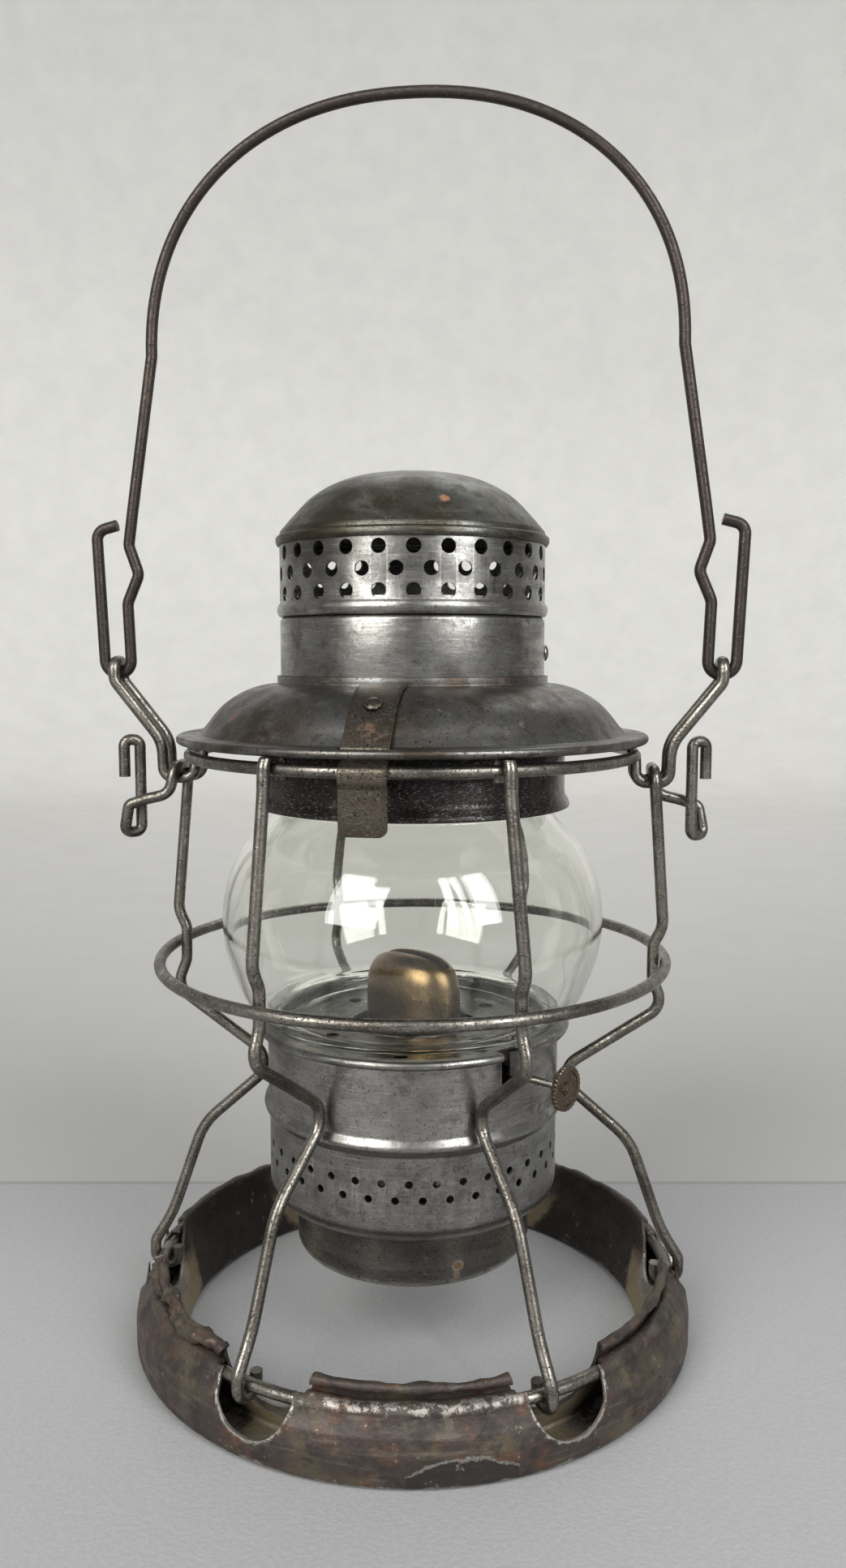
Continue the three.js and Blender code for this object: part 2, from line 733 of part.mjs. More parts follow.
addBrass("wick_tube", wickTube());

// Wick: a flat woven strip from the oil to just above the tube
const wickBottom = 34;
const wickTop = tubeTop + 2;
function wick() {
  const strip = box(
    [-wickThickness / 2, -wickWidth / 2, wickBottom],
    [wickThickness / 2, wickWidth / 2, wickTop],
  );
  return turned(strip, burnerAzimuth);
}
add("wick", wick(), 0xcfc4a8, 0.95, 0);

// Wick shaft with two toothed sprockets, and the knurled thumb wheel on its end
const sprocketThickness = 1.4;
const sprocketSpread = 3;
const sprocketTeeth = 8;
const wheelThickness = 1.6;
const wheelHubRadius = 1.9;
const knurlCount = 30;
const knurlDepth = 0.35;
function toothedDisc(radius, depth, thickness, teeth, distance) {
  const outline = Array.from({ length: 2 * teeth }, (_, i) => {
    const reach = radius - (i % 2) * depth;
    const angle = (i * Math.PI) / teeth;
    return [reach * Math.cos(angle), reach * Math.sin(angle)];
  });
  return prism(outline, thickness).translate([0, -distance, shaftHeight]);
}
function placedOnShaft(shape) {
  return turned(shape.translate([-shaftOffset, 0, 0]), burnerAzimuth);
}
function wickShaft() {
  const near = -(tubeHalfWidth + fit);
  const far = wheelDistance - wheelThickness / 2 - fit;
  const bar = frontBar(shaftRadius, near, far, shaftHeight, 10);
  const depth = sprocketRadius - shaftRadius - fit;
  const discs = [-1, 1].map((side) =>
    toothedDisc(sprocketRadius, depth, sprocketThickness, sprocketTeeth, side * sprocketSpread),
  );
  return placedOnShaft(bar.add(discs[0]).add(discs[1]));
}
function thumbWheel() {
  const disc = toothedDisc(wheelRadius, knurlDepth, wheelThickness, knurlCount, wheelDistance);
  const face = wheelDistance + wheelThickness / 2;
  const dishRadius = wheelRadius - wheelThickness;
  const dish = frontBar(dishRadius, face - wheelThickness / 4, face + overrun, shaftHeight, 20);
  const hubFace = face + wheelThickness / 3;
  const hub = frontBar(wheelHubRadius, face - wheelThickness, hubFace, shaftHeight, 10);
  return placedOnShaft(disc.subtract(dish).add(hub));
}
addWire("wick_shaft", wickShaft());
add("thumb_wheel", thumbWheel(), 0x6d6256, 0.5, 0.85);

// Burner hood: an oval dome over the flame with a slot along its crown
const hoodHalfThickness = 10;
const hoodSquareness = 0.62; // 1 gives a round crown, less a squarer one
const hoodSlotHalfWidth = 2.6;
const hoodSlotHalfLength = 12;
function hoodShell(inset) {
  const bottom = deckTop + fit;
  const low = inset > 0 ? bottom - overrun : bottom;
  const halfWidth = hoodHalfWidth - inset;
  const rise = hoodTop - hoodSpring - inset;
  const crown = arc(0, 0, 1, 0, 90, 6).map(([x, y]) => [
    halfWidth * Math.pow(Math.abs(x), hoodSquareness),
    hoodSpring + rise * Math.pow(Math.abs(y), hoodSquareness),
  ]);
  const outline = [[0, low], [halfWidth, low], ...crown.slice(0, -1), [0, hoodSpring + rise]];
  const squeeze = (hoodHalfThickness - inset) / halfWidth;
  return spun(outline, narrowSides).scale([squeeze, 1, 1]);
}
function burnerHood() {
  const slot = box(
    [-hoodSlotHalfWidth, -hoodSlotHalfLength, hoodSpring],
    [hoodSlotHalfWidth, hoodSlotHalfLength, hoodTop + overrun],
  );
  const hole = frontBar(shaftRadius + 2 * fit, 0, hoodHalfWidth + overrun, shaftHeight, 10);
  const shell = hoodShell(0).subtract(hoodShell(sheet)).subtract(slot);
  return turned(shell.subtract(hole.translate([-shaftOffset, 0, 0])), burnerAzimuth);
}
addBrass("burner_hood", burnerHood());

// Chimney neck
const neckLap = 5;
const neckTop = ventBandBottom + neckLap;
const neckRivetDrop = 11.2;
const neckRivetHeight = ventBandBottom - neckRivetDrop;
const neckRivetAzimuth = 92;
const rivetShank = 1.2;
const rivetHead = 2.5;
const rivetRise = 1.2;
function chimneyNeck() {
  const wall = neckRadius - halfSheet;
  const sleeve = wall - sheet - fit;
  const line = [
    [wall, neckBottom],
    [wall, ventBandBottom - 2 * sheet],
    [sleeve, ventBandBottom],
    [sleeve, neckTop],
  ];
  const hole = frontBar(rivetShank + fit, wall - overrun, wall + overrun, neckRivetHeight, 8);
  return spunSheet(line).subtract(turned(hole, neckRivetAzimuth));
}
addSheet("chimney_neck", chimneyNeck());

// A round-headed rivet that points to the front
function rivet(seatDistance, shankLength, height) {
  const shank = frontBar(rivetShank, seatDistance - shankLength, seatDistance + rivetRise / 2, height, 6);
  const wide = new THREE.CylinderGeometry(rivetHead, rivetHead / 2, rivetRise, 10);
  const head = solid(wide.rotateX(Math.PI).translate(0, -seatDistance - rivetRise / 2, height));
  return shank.add(head);
}
addSheet("neck_rivet", turned(rivet(neckRadius + fit / 2, sheet + fit, neckRivetHeight), neckRivetAzimuth));

// Vent band: a rolled bead below and three staggered rows of holes
const ventHoleCount = 26;
const ventHoleRadius = 2.15;
const ventRowRise = 6.3;
const ventRowPitch = 6.1;
const ventRowHeights = [0, 1, 2].map((row) => ventBandBottom + ventRowRise + row * ventRowPitch);
const ventBeadReach = 0.9;
const ventBeadHeight = 3.8;
function ventBand() {
  const wall = neckRadius - halfSheet;
  const line = [
    [wall + ventBeadReach / 3, ventBandBottom],
    [wall + ventBeadReach, ventBandBottom + ventBeadHeight / 3],
    [wall + ventBeadReach, ventBandBottom + (2 * ventBeadHeight) / 3],
    [wall, ventBandBottom + ventBeadHeight],
    [wall, ventBandTop],
  ];
  const holes = ventRowHeights.flatMap((height, row) =>
    ventRow(ventHoleCount, ventHoleRadius, height, wall, ((row + 1) % 2) / 2, 6),
  );
  return spunSheet(line, sheet, ventHoleCount).subtract(wasm.Manifold.union(holes));
}
addSheet("vent_band", ventBand());

// Dome cap, its skirt slipped over the vent band
const domeSkirt = 1.6;
const domeShoulder = 2;
const domeSpring = ventBandTop + domeShoulder;
const crownShares = [[0.95, 0.14], [0.89, 0.274], [0.745, 0.597], [0.534, 0.85], [0.28, 0.973], [0, 1]];
function domeCap() {
  const skirt = neckRadius + fit + halfSheet;
  const wall = neckRadius;
  const rise = domeTop - halfSheet - domeSpring;
  const line = [
    [skirt, ventBandTop - domeSkirt],
    [skirt, ventBandTop + fit],
    [wall, domeSpring],
    ...crownShares.map(([x, z]) => [wall * x, domeSpring + rise * z]),
  ].reverse();
  return spunSheet(line);
}
addDark("dome_cap", domeCap());

// Lid brim: collar round the neck, domed shoulder, flat brim and rolled rim
const brimFlatInset = 3.2;
const brimFlatRadius = topRingRadius - brimFlatInset;
const brimSeat = hookTop + fit;
const brimRise = 1.5;
const collarRise = 2.6;
const brimRoll = 0.9;
const shoulderShares = [[0.18, 0.96], [0.52, 0.76], [0.8, 0.41], [1, 0.03]];
const latchSlotInset = 2.6;
const latchSlotOutset = 2.1;
const latchRivetInset = 12.2;
const latchSlotInner = topRingRadius - latchSlotInset;
const latchSlotOuter = topRingRadius + latchSlotOutset;
const latchRivetRadius = topRingRadius - latchRivetInset;
function brimLine() {
  const collar = neckRadius + fit + halfSheet;
  const flat = brimSeat + halfSheet + brimRise;
  const fall = shoulderHeight - flat;
  const run = brimFlatRadius - collar;
  const rim = brimRadius - brimRoll - halfSheet;
  return [
    [collar, shoulderHeight + collarRise],
    [collar, shoulderHeight + sheet],
    ...shoulderShares.map(([x, z]) => [collar + run * x, flat + fall * z]),
    ...arc(rim, brimSeat + halfSheet + brimRoll, brimRoll, 90, -90, 3),
  ];
}
function brimSlopeAt(radius) {
  const line = brimLine();
  const after = line.findIndex(([r], i) => i > 1 && r >= radius);
  const [r0, z0] = line[after - 1];
  const [r1, z1] = line[after];
  const slope = (z1 - z0) / (r1 - r0);
  return { slope, height: z0 + slope * (radius - r0) };
}
function brimHeightAt(radius, distance = 0) {
  const { slope, height } = brimSlopeAt(radius);
  return height + distance * Math.sqrt(1 + slope * slope);
}
// A shape round the origin, set square on the shoulder where the rivet of the latch strap is
function onShoulder(shape) {
  const { slope, height } = brimSlopeAt(latchRivetRadius);
  const lean = Math.atan(-slope) / deg;
  return turned(shape.rotate([lean, 0, 0]).translate([0, -latchRivetRadius, height]), latchAzimuth);
}
function rivetHole(radius) {
  const bar = new THREE.CylinderGeometry(radius, radius, 2 * overrun, 8);
  return onShoulder(solid(bar.rotateX(Math.PI / 2)));
}
function lidBrim() {
  const half = latchWidth / 2 + 2 * fit;
  const slot = box([-half, -latchSlotOuter, brimSeat - overrun], [half, -latchSlotInner, shoulderHeight]);
  const cut = turned(slot, latchAzimuth);
  return spunSheet(brimLine(), sheet, wideSides + 4).subtract(cut).subtract(rivetHole(2 * rivetShank));
}
addDark("lid_brim", lidBrim());

// Globe retainer: the dark sleeve under the lid, and the seat ring inside it that rests on the glass
const retainerLip = 2.4;
const seatInnerRadius = 37;
const seatFlange = 5;
function globeRetainer() {
  const wall = retainerRadius - halfSheet;
  const top = brimHeightAt(retainerRadius) - sheet - fit;
  return spunSheet([
    [wall, top],
    [wall, retainerBottom + 2 * retainerLip],
    [wall, retainerBottom + retainerLip],
    [retainerLipRadius - halfSheet, retainerBottom + sheet],
    [retainerLipRadius - halfSheet, retainerBottom],
  ]);
}
function retainerSeat() {
  const height = globeTop + fit + halfSheet;
  const wall = retainerRadius - sheet - fit - halfSheet;
  return spunSheet([
    [seatInnerRadius, height],
    [wall - sheet, height],
    [wall, height + sheet],
    [wall, height + seatFlange],
  ]);
}
add("globe_retainer", globeRetainer(), 0x2c2725, 0.35, 0.8);
add("retainer_seat", retainerSeat(), 0x2c2725, 0.45, 0.8);

// A strip of sheet that follows a line of [distance from the axis, height] pairs towards the front
function strip(line, thickness, width) {
  const outline = sheetOutline(line, thickness);
  const shape = new THREE.Shape(outline.map(([x, y]) => new THREE.Vector2(x, y)));
  const body = new THREE.ExtrudeGeometry(shape, { depth: width, bevelEnabled: false });
  body.translate(0, 0, -width / 2).rotateX(Math.PI / 2).rotateZ(-Math.PI / 2);
  return solid(body);
}

// Latch strap: a spring leaf from the neck, through the brim's slot and down past the top ring
const latchReach = 16.7;
const latchTip = topRingHeight - latchReach;
const latchStep = 0.7;
const latchStepDrop = 3.4;
const latchStepHeight = topRingHeight - latchStepDrop;
const latchFace = topRingRadius + wireRadius + fit + halfSheet;
const latchTopRadius = neckRadius + sheet + 3 * fit;
function latchStrap() {
  const above = (radius) => [radius, brimHeightAt(radius, sheet + fit)];
  const passRadius = (latchSlotInner + latchSlotOuter) / 2 - fit;
  const upperFace = latchFace + latchStep;
  const shoulder = shoulderShares.map(([share]) => neckRadius + (brimFlatRadius - neckRadius) * share);
  const line = [
    above(latchTopRadius + sheet),
    ...shoulder.slice(1, 3).map(above),
    [passRadius, brimSeat + sheet + brimRoll],
    [passRadius, brimSeat],
    [upperFace, topRingHeight + wireRadius / 2],
    [upperFace, latchStepHeight + latchStep],
    [latchFace, latchStepHeight - latchStep],
    [latchFace, latchTip],
  ];
  const leaf = strip(line, sheet, latchWidth);
  const half = latchWidth / 2;
  const tipRise = 3 * sheet;
  const front = new THREE.Shape();
  front.moveTo(half, latchTip + tipRise);
  front.lineTo(half, domeTop);
  front.lineTo(-half, domeTop);
  front.lineTo(-half, latchTip + tipRise);
  front.quadraticCurveTo(-half / 2, latchTip, 0, latchTip);
  front.quadraticCurveTo(half / 2, latchTip, half, latchTip + tipRise);
  const depth = 2 * brimRadius;
  const plate = new THREE.ExtrudeGeometry(front, { depth, bevelEnabled: false, curveSegments: 4 });
  const trim = solid(plate.translate(0, 0, -brimRadius).rotateX(Math.PI / 2));
  return turned(leaf.intersect(trim), latchAzimuth).subtract(rivetHole(rivetShank + fit));
}
add("latch_strap", latchStrap(), 0x554b42, 0.55, 0.8);

// The rivet of the latch strap stands upright on the shoulder
function latchRivet() {
  const seat = 1.5 * sheet + 2 * fit;
  return onShoulder(rivet(0, seat + halfSheet, 0).rotate([-90, 0, 0]).translate([0, 0, seat]));
}
add("latch_rivet", latchRivet(), 0x5b5148, 0.5, 0.8);

// Lid hinge leaf: soldered under the brim at the rear and curled round the top ring
const leafWidth = 11;
const leafClearance = 0.6;
const leafRootInset = 7.6;
const leafRoot = topRingRadius - leafRootInset;
function hingeLeaf() {
  const curl = wireRadius + leafClearance + halfSheet;
  const under = (y) => [y, brimHeightAt(Math.hypot(y, leafWidth / 2), -sheet - fit)];
  const line = [
    under(leafRoot),
    under(brimFlatRadius - sheet),
    ...arc(topRingRadius, topRingHeight, curl, 155, 430, 9),
  ];
  return turned(strip(line, sheet, leafWidth), 180);
}
addDark("lid_hinge_leaf", hingeLeaf());

// Bail: one wire with a long eye bent at each end, and a kink that stands it up on the ear
const archHalfWidth = 81.6;
const archRise = 94.1;
const archBase = earTop + archRise;
const archPower = 2.2;
const archPieces = 11;
const kinkRise = 27.4;
const kinkHeight = earTop + kinkRise;
const kinkDepth = 3.1;
const kinkHalf = 9;
const legTopShare = 2.2;
const legTop = kinkHeight + legTopShare * kinkHalf;
const eyeRise = 41;
const eyeTop = earTop + eyeRise;
const eyeOpening = 3.6;
function bailHalf() {
  const rise = bailTop - archBase;
  const arch = arc(0, 0, 1, 90, 0, archPieces).map(([x, y]) => [
    archHalfWidth * Math.pow(Math.abs(x), 2 / archPower),
    archBase + rise * Math.pow(Math.abs(y), 2 / archPower),
  ]);
  const innerLeg = earReach - bailLoopRadius;
  const outerLeg = earReach + bailLoopRadius;
  const loopBottom = earTop - pitch;
  const point = ([x, z], bend = 0) => [new THREE.Vector3(x, 0, z), bend];
  return [
    ...arch.map((pair) => point(pair)),
    point([innerLeg - kinkDepth / 2, legTop], 4 * wireDiameter),
    point([innerLeg, kinkHeight + kinkHalf], wireDiameter),
    point([innerLeg - kinkDepth, kinkHeight], wireDiameter),
    point([innerLeg + kinkDepth / 4, kinkHeight - kinkHalf], wireDiameter),
    point([innerLeg, loopBottom], bailLoopRadius),
    point([outerLeg, loopBottom], bailLoopRadius),
    point([outerLeg + wireRadius, eyeTop], eyeOpening),
    point([innerLeg + wireDiameter, eyeTop + wireRadius], 0),
  ];
}
function bail() {
  const right = bailHalf();
  const left = right
    .slice(1)
    .map(([corner, bend]) => [new THREE.Vector3(-corner.x, corner.y, corner.z), bend])
    .reverse();
  return wire(bent([...left, ...right]));
}
addDark("bail", bail());

export default root;
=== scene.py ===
"""The dressed model of a short-globe railroad lantern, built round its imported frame.

Sizes are in millimetres unless they say otherwise. The front, with the latch strap, faces -Y,
the ears lie along X, and azimuths are in degrees from the front, growing towards +X. GAP is the
clearance between neighbouring pieces, and PAST is how far a cutter reaches past what it cuts.
"""

import logging
import math
from collections.abc import Iterator
from contextlib import contextmanager
from dataclasses import dataclass
from enum import Enum

import bpy
from mathutils import Matrix, Vector


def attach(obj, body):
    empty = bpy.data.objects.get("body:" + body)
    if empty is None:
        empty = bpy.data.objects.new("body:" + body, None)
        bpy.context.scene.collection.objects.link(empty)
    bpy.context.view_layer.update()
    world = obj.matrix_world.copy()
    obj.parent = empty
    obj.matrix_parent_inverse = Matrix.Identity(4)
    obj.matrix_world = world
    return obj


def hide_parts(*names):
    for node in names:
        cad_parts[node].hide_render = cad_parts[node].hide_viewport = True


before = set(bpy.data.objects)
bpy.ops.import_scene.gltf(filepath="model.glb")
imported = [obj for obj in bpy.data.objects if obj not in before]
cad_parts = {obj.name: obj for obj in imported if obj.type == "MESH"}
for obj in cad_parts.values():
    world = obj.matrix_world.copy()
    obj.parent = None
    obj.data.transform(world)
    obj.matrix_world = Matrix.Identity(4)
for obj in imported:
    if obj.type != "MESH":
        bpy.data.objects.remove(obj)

LOG = logging.getLogger("lantern")
MM = 0.001
GAP = 0.3
PAST = 4.0
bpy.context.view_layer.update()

Piece = bpy.types.Object
Socket = bpy.types.NodeSocket
Material = bpy.types.Material
Pair = tuple[float, float]
Colour = tuple[float, float, float]
Place = tuple[float, float, float]
Corner = tuple[Vector, float]


def at(azimuth: float, radius: float, height: float) -> Vector:
    """The point at an azimuth, a radius and a height."""
    a = math.radians(azimuth)
    return Vector((radius * math.sin(a), -radius * math.cos(a), height))


def arc(centre: Pair, radius: float, start: float, stop: float, pieces: int) -> list[Pair]:
    """Points along a circle.

    Args:
        centre: The middle of the circle.
        radius: Its radius.
        start: The first angle in degrees.
        stop: The last angle in degrees.
        pieces: How many chords the arc has.

    Returns:
        The points, one more than the chords.
    """
    points = []
    for i in range(pieces + 1):
        a = math.radians(start + (stop - start) * i / pieces)
        points.append((centre[0] + radius * math.cos(a), centre[1] + radius * math.sin(a)))
    return points


def smooth(points: list[Pair], pieces: int) -> list[Pair]:
    """A soft curve through all the points.

    Args:
        points: The places that the curve passes.
        pieces: How many chords lie between two of them.

    Returns:
        The points of the curve.
    """
    padded = [points[0], *points, points[-1]]
    curve: list[Pair] = []
    for a, b, c, d in zip(padded, padded[1:], padded[2:], padded[3:]):
        for i in range(pieces):
            t = i / pieces
            pair = tuple(
                0.5 * (2 * b[k] + (c[k] - a[k]) * t + (2 * a[k] - 5 * b[k] + 4 * c[k] - d[k]) * t * t
                       + (3 * b[k] - a[k] - 3 * c[k] + d[k]) * t ** 3)
                for k in range(2)
            )
            curve.append(pair)
    curve.append(points[-1])
    return curve


def rounded(points: list[Pair], radius: float, pieces: int = 4) -> list[Pair]:
    """A line of [radius, height] places with each inner corner rounded.

    Args:
        points: The corners of the line.
        radius: The wanted radius, less where a side is too short for it.
        pieces: How many chords each bend has.

    Returns:
        The points of the rounded line.
    """
    corners = [(Vector((x, 0, z)), radius) for x, z in points]
    return [(p.x, p.z) for p in bent(corners, 90 / pieces)]


def bent(corners: list[Corner], step: float = 9.0) -> list[Vector]:
    """The route of a wire that is bent at each corner.

    Args:
        corners: Each corner with the radius of its bend.
        step: The most degrees between two points in a bend.

    Returns:
        The points of the route.
    """
    points = [corners[0][0].copy()]
    for (before, _), (corner, wanted), (after, _) in zip(corners, corners[1:], corners[2:]):
        back, on = before - corner, after - corner
        room = 0.5 * min(back.length, on.length)
        back.normalize()
        on.normalize()
        turn = math.pi - back.angle(on)
        if turn < 1e-3 or wanted <= 0:
            points.append(corner.copy())
            continue
        setback = min(wanted * math.tan(turn / 2), room)
        radius = setback / math.tan(turn / 2)
        centre = corner + (back + on).normalized() * (radius / math.cos(turn / 2))
        start = corner + back * setback - centre
        axis = on.cross(back).normalized()
        pieces = max(2, math.ceil(math.degrees(turn) / step))
        for k in range(pieces + 1):
            points.append(Matrix.Rotation(turn * k / pieces, 3, axis) @ start + centre)
    points.append(corners[-1][0].copy())
    kept = [points[0]]
    for point in points[1:]:
        if (point - kept[-1]).length > 1e-3:
            kept.append(point)
    return kept


def ring_route(radius: float, height: float, start: float, stop: float, pieces: int) -> list[Vector]:
    """Points along a level ring from one azimuth to another."""
    return [at(start + (stop - start) * i / pieces, radius, height) for i in range(pieces + 1)]


class Bench:
    """The hand tools that shape, cut and round every piece."""

    @staticmethod
    def only(*objects: Piece) -> None:
        """Leaves object mode with just these objects selected, the last one active."""
        if bpy.context.mode != "OBJECT":
            bpy.ops.object.mode_set(mode="OBJECT")
        bpy.ops.object.select_all(action="DESELECT")
        for item in objects:
            item.select_set(True)
            bpy.context.view_layer.objects.active = item

    @staticmethod
    def settle(item: Piece) -> Piece:
        """Puts an object's place, turn and scale into its mesh."""
        Bench.only(item)
        bpy.ops.object.transform_apply(location=True, rotation=True, scale=True)
        return item

    @staticmethod
    def moved(item: Piece, place: Place) -> Piece:
        """Moves an object to a place."""
        item.location = Vector(place) * MM
        return Bench.settle(item)

    @staticmethod
    def tipped(item: Piece, lean: float) -> Piece:
        """Tips an object about the X axis by an angle in radians."""
        item.rotation_euler = (lean, 0, 0)
        return Bench.settle(item)

    @staticmethod
    @contextmanager
    def editing() -> Iterator[None]:
        """Opens the active mesh with everything in it selected, and closes it again."""
        bpy.ops.object.mode_set(mode="EDIT")
        bpy.ops.mesh.select_all(action="SELECT")
        yield
        bpy.ops.object.mode_set(mode="OBJECT")

    @staticmethod
    def trace(name: str, points: list[Vector]) -> Piece:
        """Draws a line by extruding one vertex from point to point.

        Args:
            name: The name of the piece.
            points: The places that the line passes.

        Returns:
            The object that holds the line.
        """
        Bench.only()
        bpy.ops.mesh.primitive_plane_add(size=MM, location=points[0] * MM)
        item = bpy.context.object
        item.name = name
        Bench.settle(item)
        with Bench.editing():
            bpy.ops.mesh.select_mode(type="VERT")
            bpy.ops.mesh.select_all(action="SELECT")
            bpy.ops.mesh.merge(type="CENTER")
            for here, there in zip(points, points[1:]):
                bpy.ops.mesh.extrude_region_move(TRANSFORM_OT_translate={"value": (there - here) * MM})
        return item

    @staticmethod
    def wire(name: str, points: list[Vector], diameter: float) -> Piece:
        """Bends a round wire along a route.

        Args:
            name: The name of the piece.
            points: The route of the wire's middle.
            diameter: The wire's thickness.

        Returns:
            The wire as a closed mesh.
        """
        item = Bench.trace(name, points)
        bpy.ops.object.convert(target="CURVE")
        item = bpy.context.object
        item.data.twist_mode = "MINIMUM"
        item.data.bevel_depth = diameter / 2 * MM
        item.data.bevel_resolution = 5
        item.data.use_fill_caps = True
        bpy.ops.object.convert(target="MESH")
        item = bpy.context.object
        with Bench.editing():
            bpy.ops.mesh.remove_doubles(threshold=1e-6)
            bpy.ops.mesh.normals_make_consistent(inside=False)
        return Bench.shade(item, 50)

    @staticmethod
    def spun(name: str, line: list[Pair], steps: int = 144) -> Piece:
        """Spins a line of [radius, height] places about the vertical axis.

        Args:
            name: The name of the piece.
            line: The line that is spun.
            steps: How many stretches make the full turn.

        Returns:
            The open or closed surface, with its seam and poles merged.
        """
        item = Bench.trace(name, [at(0, radius, height) for radius, height in line])
        with Bench.editing():
            bpy.ops.mesh.spin(steps=steps, angle=2 * math.pi, center=(0, 0, 0), axis=(0, 0, 1))
            bpy.ops.mesh.select_all(action="SELECT")
            bpy.ops.mesh.remove_doubles(threshold=2e-6)
            bpy.ops.mesh.normals_make_consistent(inside=False)
        return item

    @staticmethod
    def apply(item: Piece, kind: str, **settings: object) -> Piece:
        """Adds a modifier with these settings and applies it."""
        Bench.only(item)
        modifier = item.modifiers.new(kind.lower(), kind)
        for key, value in settings.items():
            setattr(modifier, key, value)
        bpy.ops.object.modifier_apply(modifier=modifier.name)
        return item

    @staticmethod
    def thicken(item: Piece, thickness: float) -> Piece:
        """Gives a surface the thickness of sheet, half to each side."""
        return Bench.apply(item, "SOLIDIFY", thickness=thickness * MM, offset=0.0, use_even_offset=True)

    @staticmethod
    def bevel(item: Piece, width: float, segments: int, **settings: object) -> Piece:
        """Rounds the sharp edges, each by this many flats."""
        return Bench.apply(item, "BEVEL", width=width * MM, segments=segments, limit_method="ANGLE",
                           **settings)

    @staticmethod
    def shade(item: Piece, angle: float | None = None) -> Piece:
        """Smooths the shading, everywhere or where an edge turns less than an angle in degrees."""
        Bench.only(item)
        if angle is None:
            bpy.ops.object.shade_smooth()
        else:
            bpy.ops.object.shade_smooth_by_angle(angle=math.radians(angle))
        return item

    @staticmethod
    def sheet(name: str, line: list[Pair], thickness: float, steps: int = 144) -> Piece:
        """Spins a line and thickens it to sheet."""
        return Bench.thicken(Bench.spun(name, line, steps), thickness)

    @staticmethod
    def soften(item: Piece, width: float = 0.15, angle: float = 38.0) -> Piece:
        """Rounds the sharp edges a little and smooths the shading."""
        Bench.bevel(item, width, 2, angle_limit=math.radians(angle), use_clamp_overlap=True)
        return Bench.shade(item, angle)

    @staticmethod
    def cut(item: Piece, cutter: Piece) -> Piece:
        """Cuts one object out of another and throws the cutter away."""
        Bench.apply(item, "BOOLEAN", operation="DIFFERENCE", solver="EXACT", object=cutter)
        bpy.data.objects.remove(cutter, do_unlink=True)
        return item

    @staticmethod
    def fuse(item: Piece, other: Piece) -> Piece:
        """Welds one object into another."""
        Bench.apply(item, "BOOLEAN", operation="UNION", solver="EXACT", object=other)
        bpy.data.objects.remove(other, do_unlink=True)
        return item

    @staticmethod
    def join(items: list[Piece]) -> Piece:
        """Puts several objects into one mesh without welding them."""
        Bench.only(*items)
        bpy.ops.object.join()
        return bpy.context.object

    @staticmethod
    def bar(name: str, radius: float, start: Place, stop: Place, sides: int = 24) -> Piece:
        """A round bar between two points."""
        start, stop = Vector(start), Vector(stop)
        along = stop - start
        Bench.only()
        bpy.ops.mesh.primitive_cylinder_add(
            vertices=sides, radius=radius * MM, depth=along.length * MM,
            location=(start + stop) * (MM / 2), rotation=along.to_track_quat("Z", "Y").to_euler())
        bpy.context.object.name = name
        return Bench.settle(bpy.context.object)

    @staticmethod
    def drill(name: str, radius: float, wall: float, height: float, sides: int) -> Piece:
        """A cutter for a round hole through the front of an upright wall."""
        return Bench.bar(name, radius, (0, -wall + PAST, height), (0, -wall - PAST, height), sides)

    @staticmethod
    def block(name: str, low: Place, high: Place) -> Piece:
        """A block by its lowest and highest corners."""
        low, high = Vector(low), Vector(high)
        Bench.only()
        bpy.ops.mesh.primitive_cube_add(size=1, location=(low + high) * (MM / 2), scale=(high - low) * MM)
        bpy.context.object.name = name
        return Bench.settle(bpy.context.object)

    @staticmethod
    def turn(item: Piece, azimuth: float) -> Piece:
        """Turns an object about the vertical axis."""
        item.rotation_euler = (0, 0, math.radians(azimuth))
        return Bench.settle(item)

    @staticmethod
    def copy(item: Piece) -> Piece:
        """A copy of an object with its own mesh."""
        Bench.only(item)
        bpy.ops.object.duplicate()
        return bpy.context.object

    @staticmethod
    def round_copies(item: Piece, count: int, phase: float = 0.0) -> Piece:
        """Copies an object evenly round the vertical axis into one mesh.

        Args:
            item: The object, which stands at the front.
            count: How many there are in the end.
            phase: The azimuth of the first.

        Returns:
            The object that holds them all.
        """
        items = [item]
        for i in range(1, count):
            twin = Bench.copy(item)
            twin.rotation_euler = (0, 0, math.radians(360 * i / count))
            items.append(twin)
        joined = Bench.join([*items[1:], items[0]])
        return Bench.turn(joined, phase)

    @staticmethod
    def strip(name: str, line: list[Pair], width: float, thickness: float, cuts: int = 6) -> Piece:
        """A strip of sheet that follows a line of [distance to the front, height] places.

        Args:
            name: The name of the piece.
            line: The line that the middle of the sheet follows.
            width: The strip's width along X.
            thickness: The thickness of the sheet.
            cuts: How many cuts divide its width.

        Returns:
            The strip as a closed mesh.
        """
        route = [Vector((-width / 2, -distance, height)) for distance, height in line]
        item = Bench.trace(name, route)
        with Bench.editing():
            for _ in range(cuts + 1):
                move = {"value": (width / (cuts + 1) * MM, 0, 0)}
                bpy.ops.mesh.extrude_region_move(TRANSFORM_OT_translate=move)
            bpy.ops.mesh.select_all(action="SELECT")
            bpy.ops.mesh.normals_make_consistent(inside=False)
        return Bench.thicken(item, thickness)

    @staticmethod
    def hand_over(item: Piece, node: str, body: str, finish: "Finish") -> None:
        """Dresses a finished piece and sets it in the place of its node.

        Args:
            item: The piece.
            node: The node that it stands for.
            body: The body that it rides on.
            finish: Its finish.
        """
        item.data.materials.clear()
        item.data.materials.append(finish.material())
        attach(item, body)
        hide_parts(node)
        LOG.info("%s: %d faces, rides on %s", item.name, len(item.data.polygons), body)


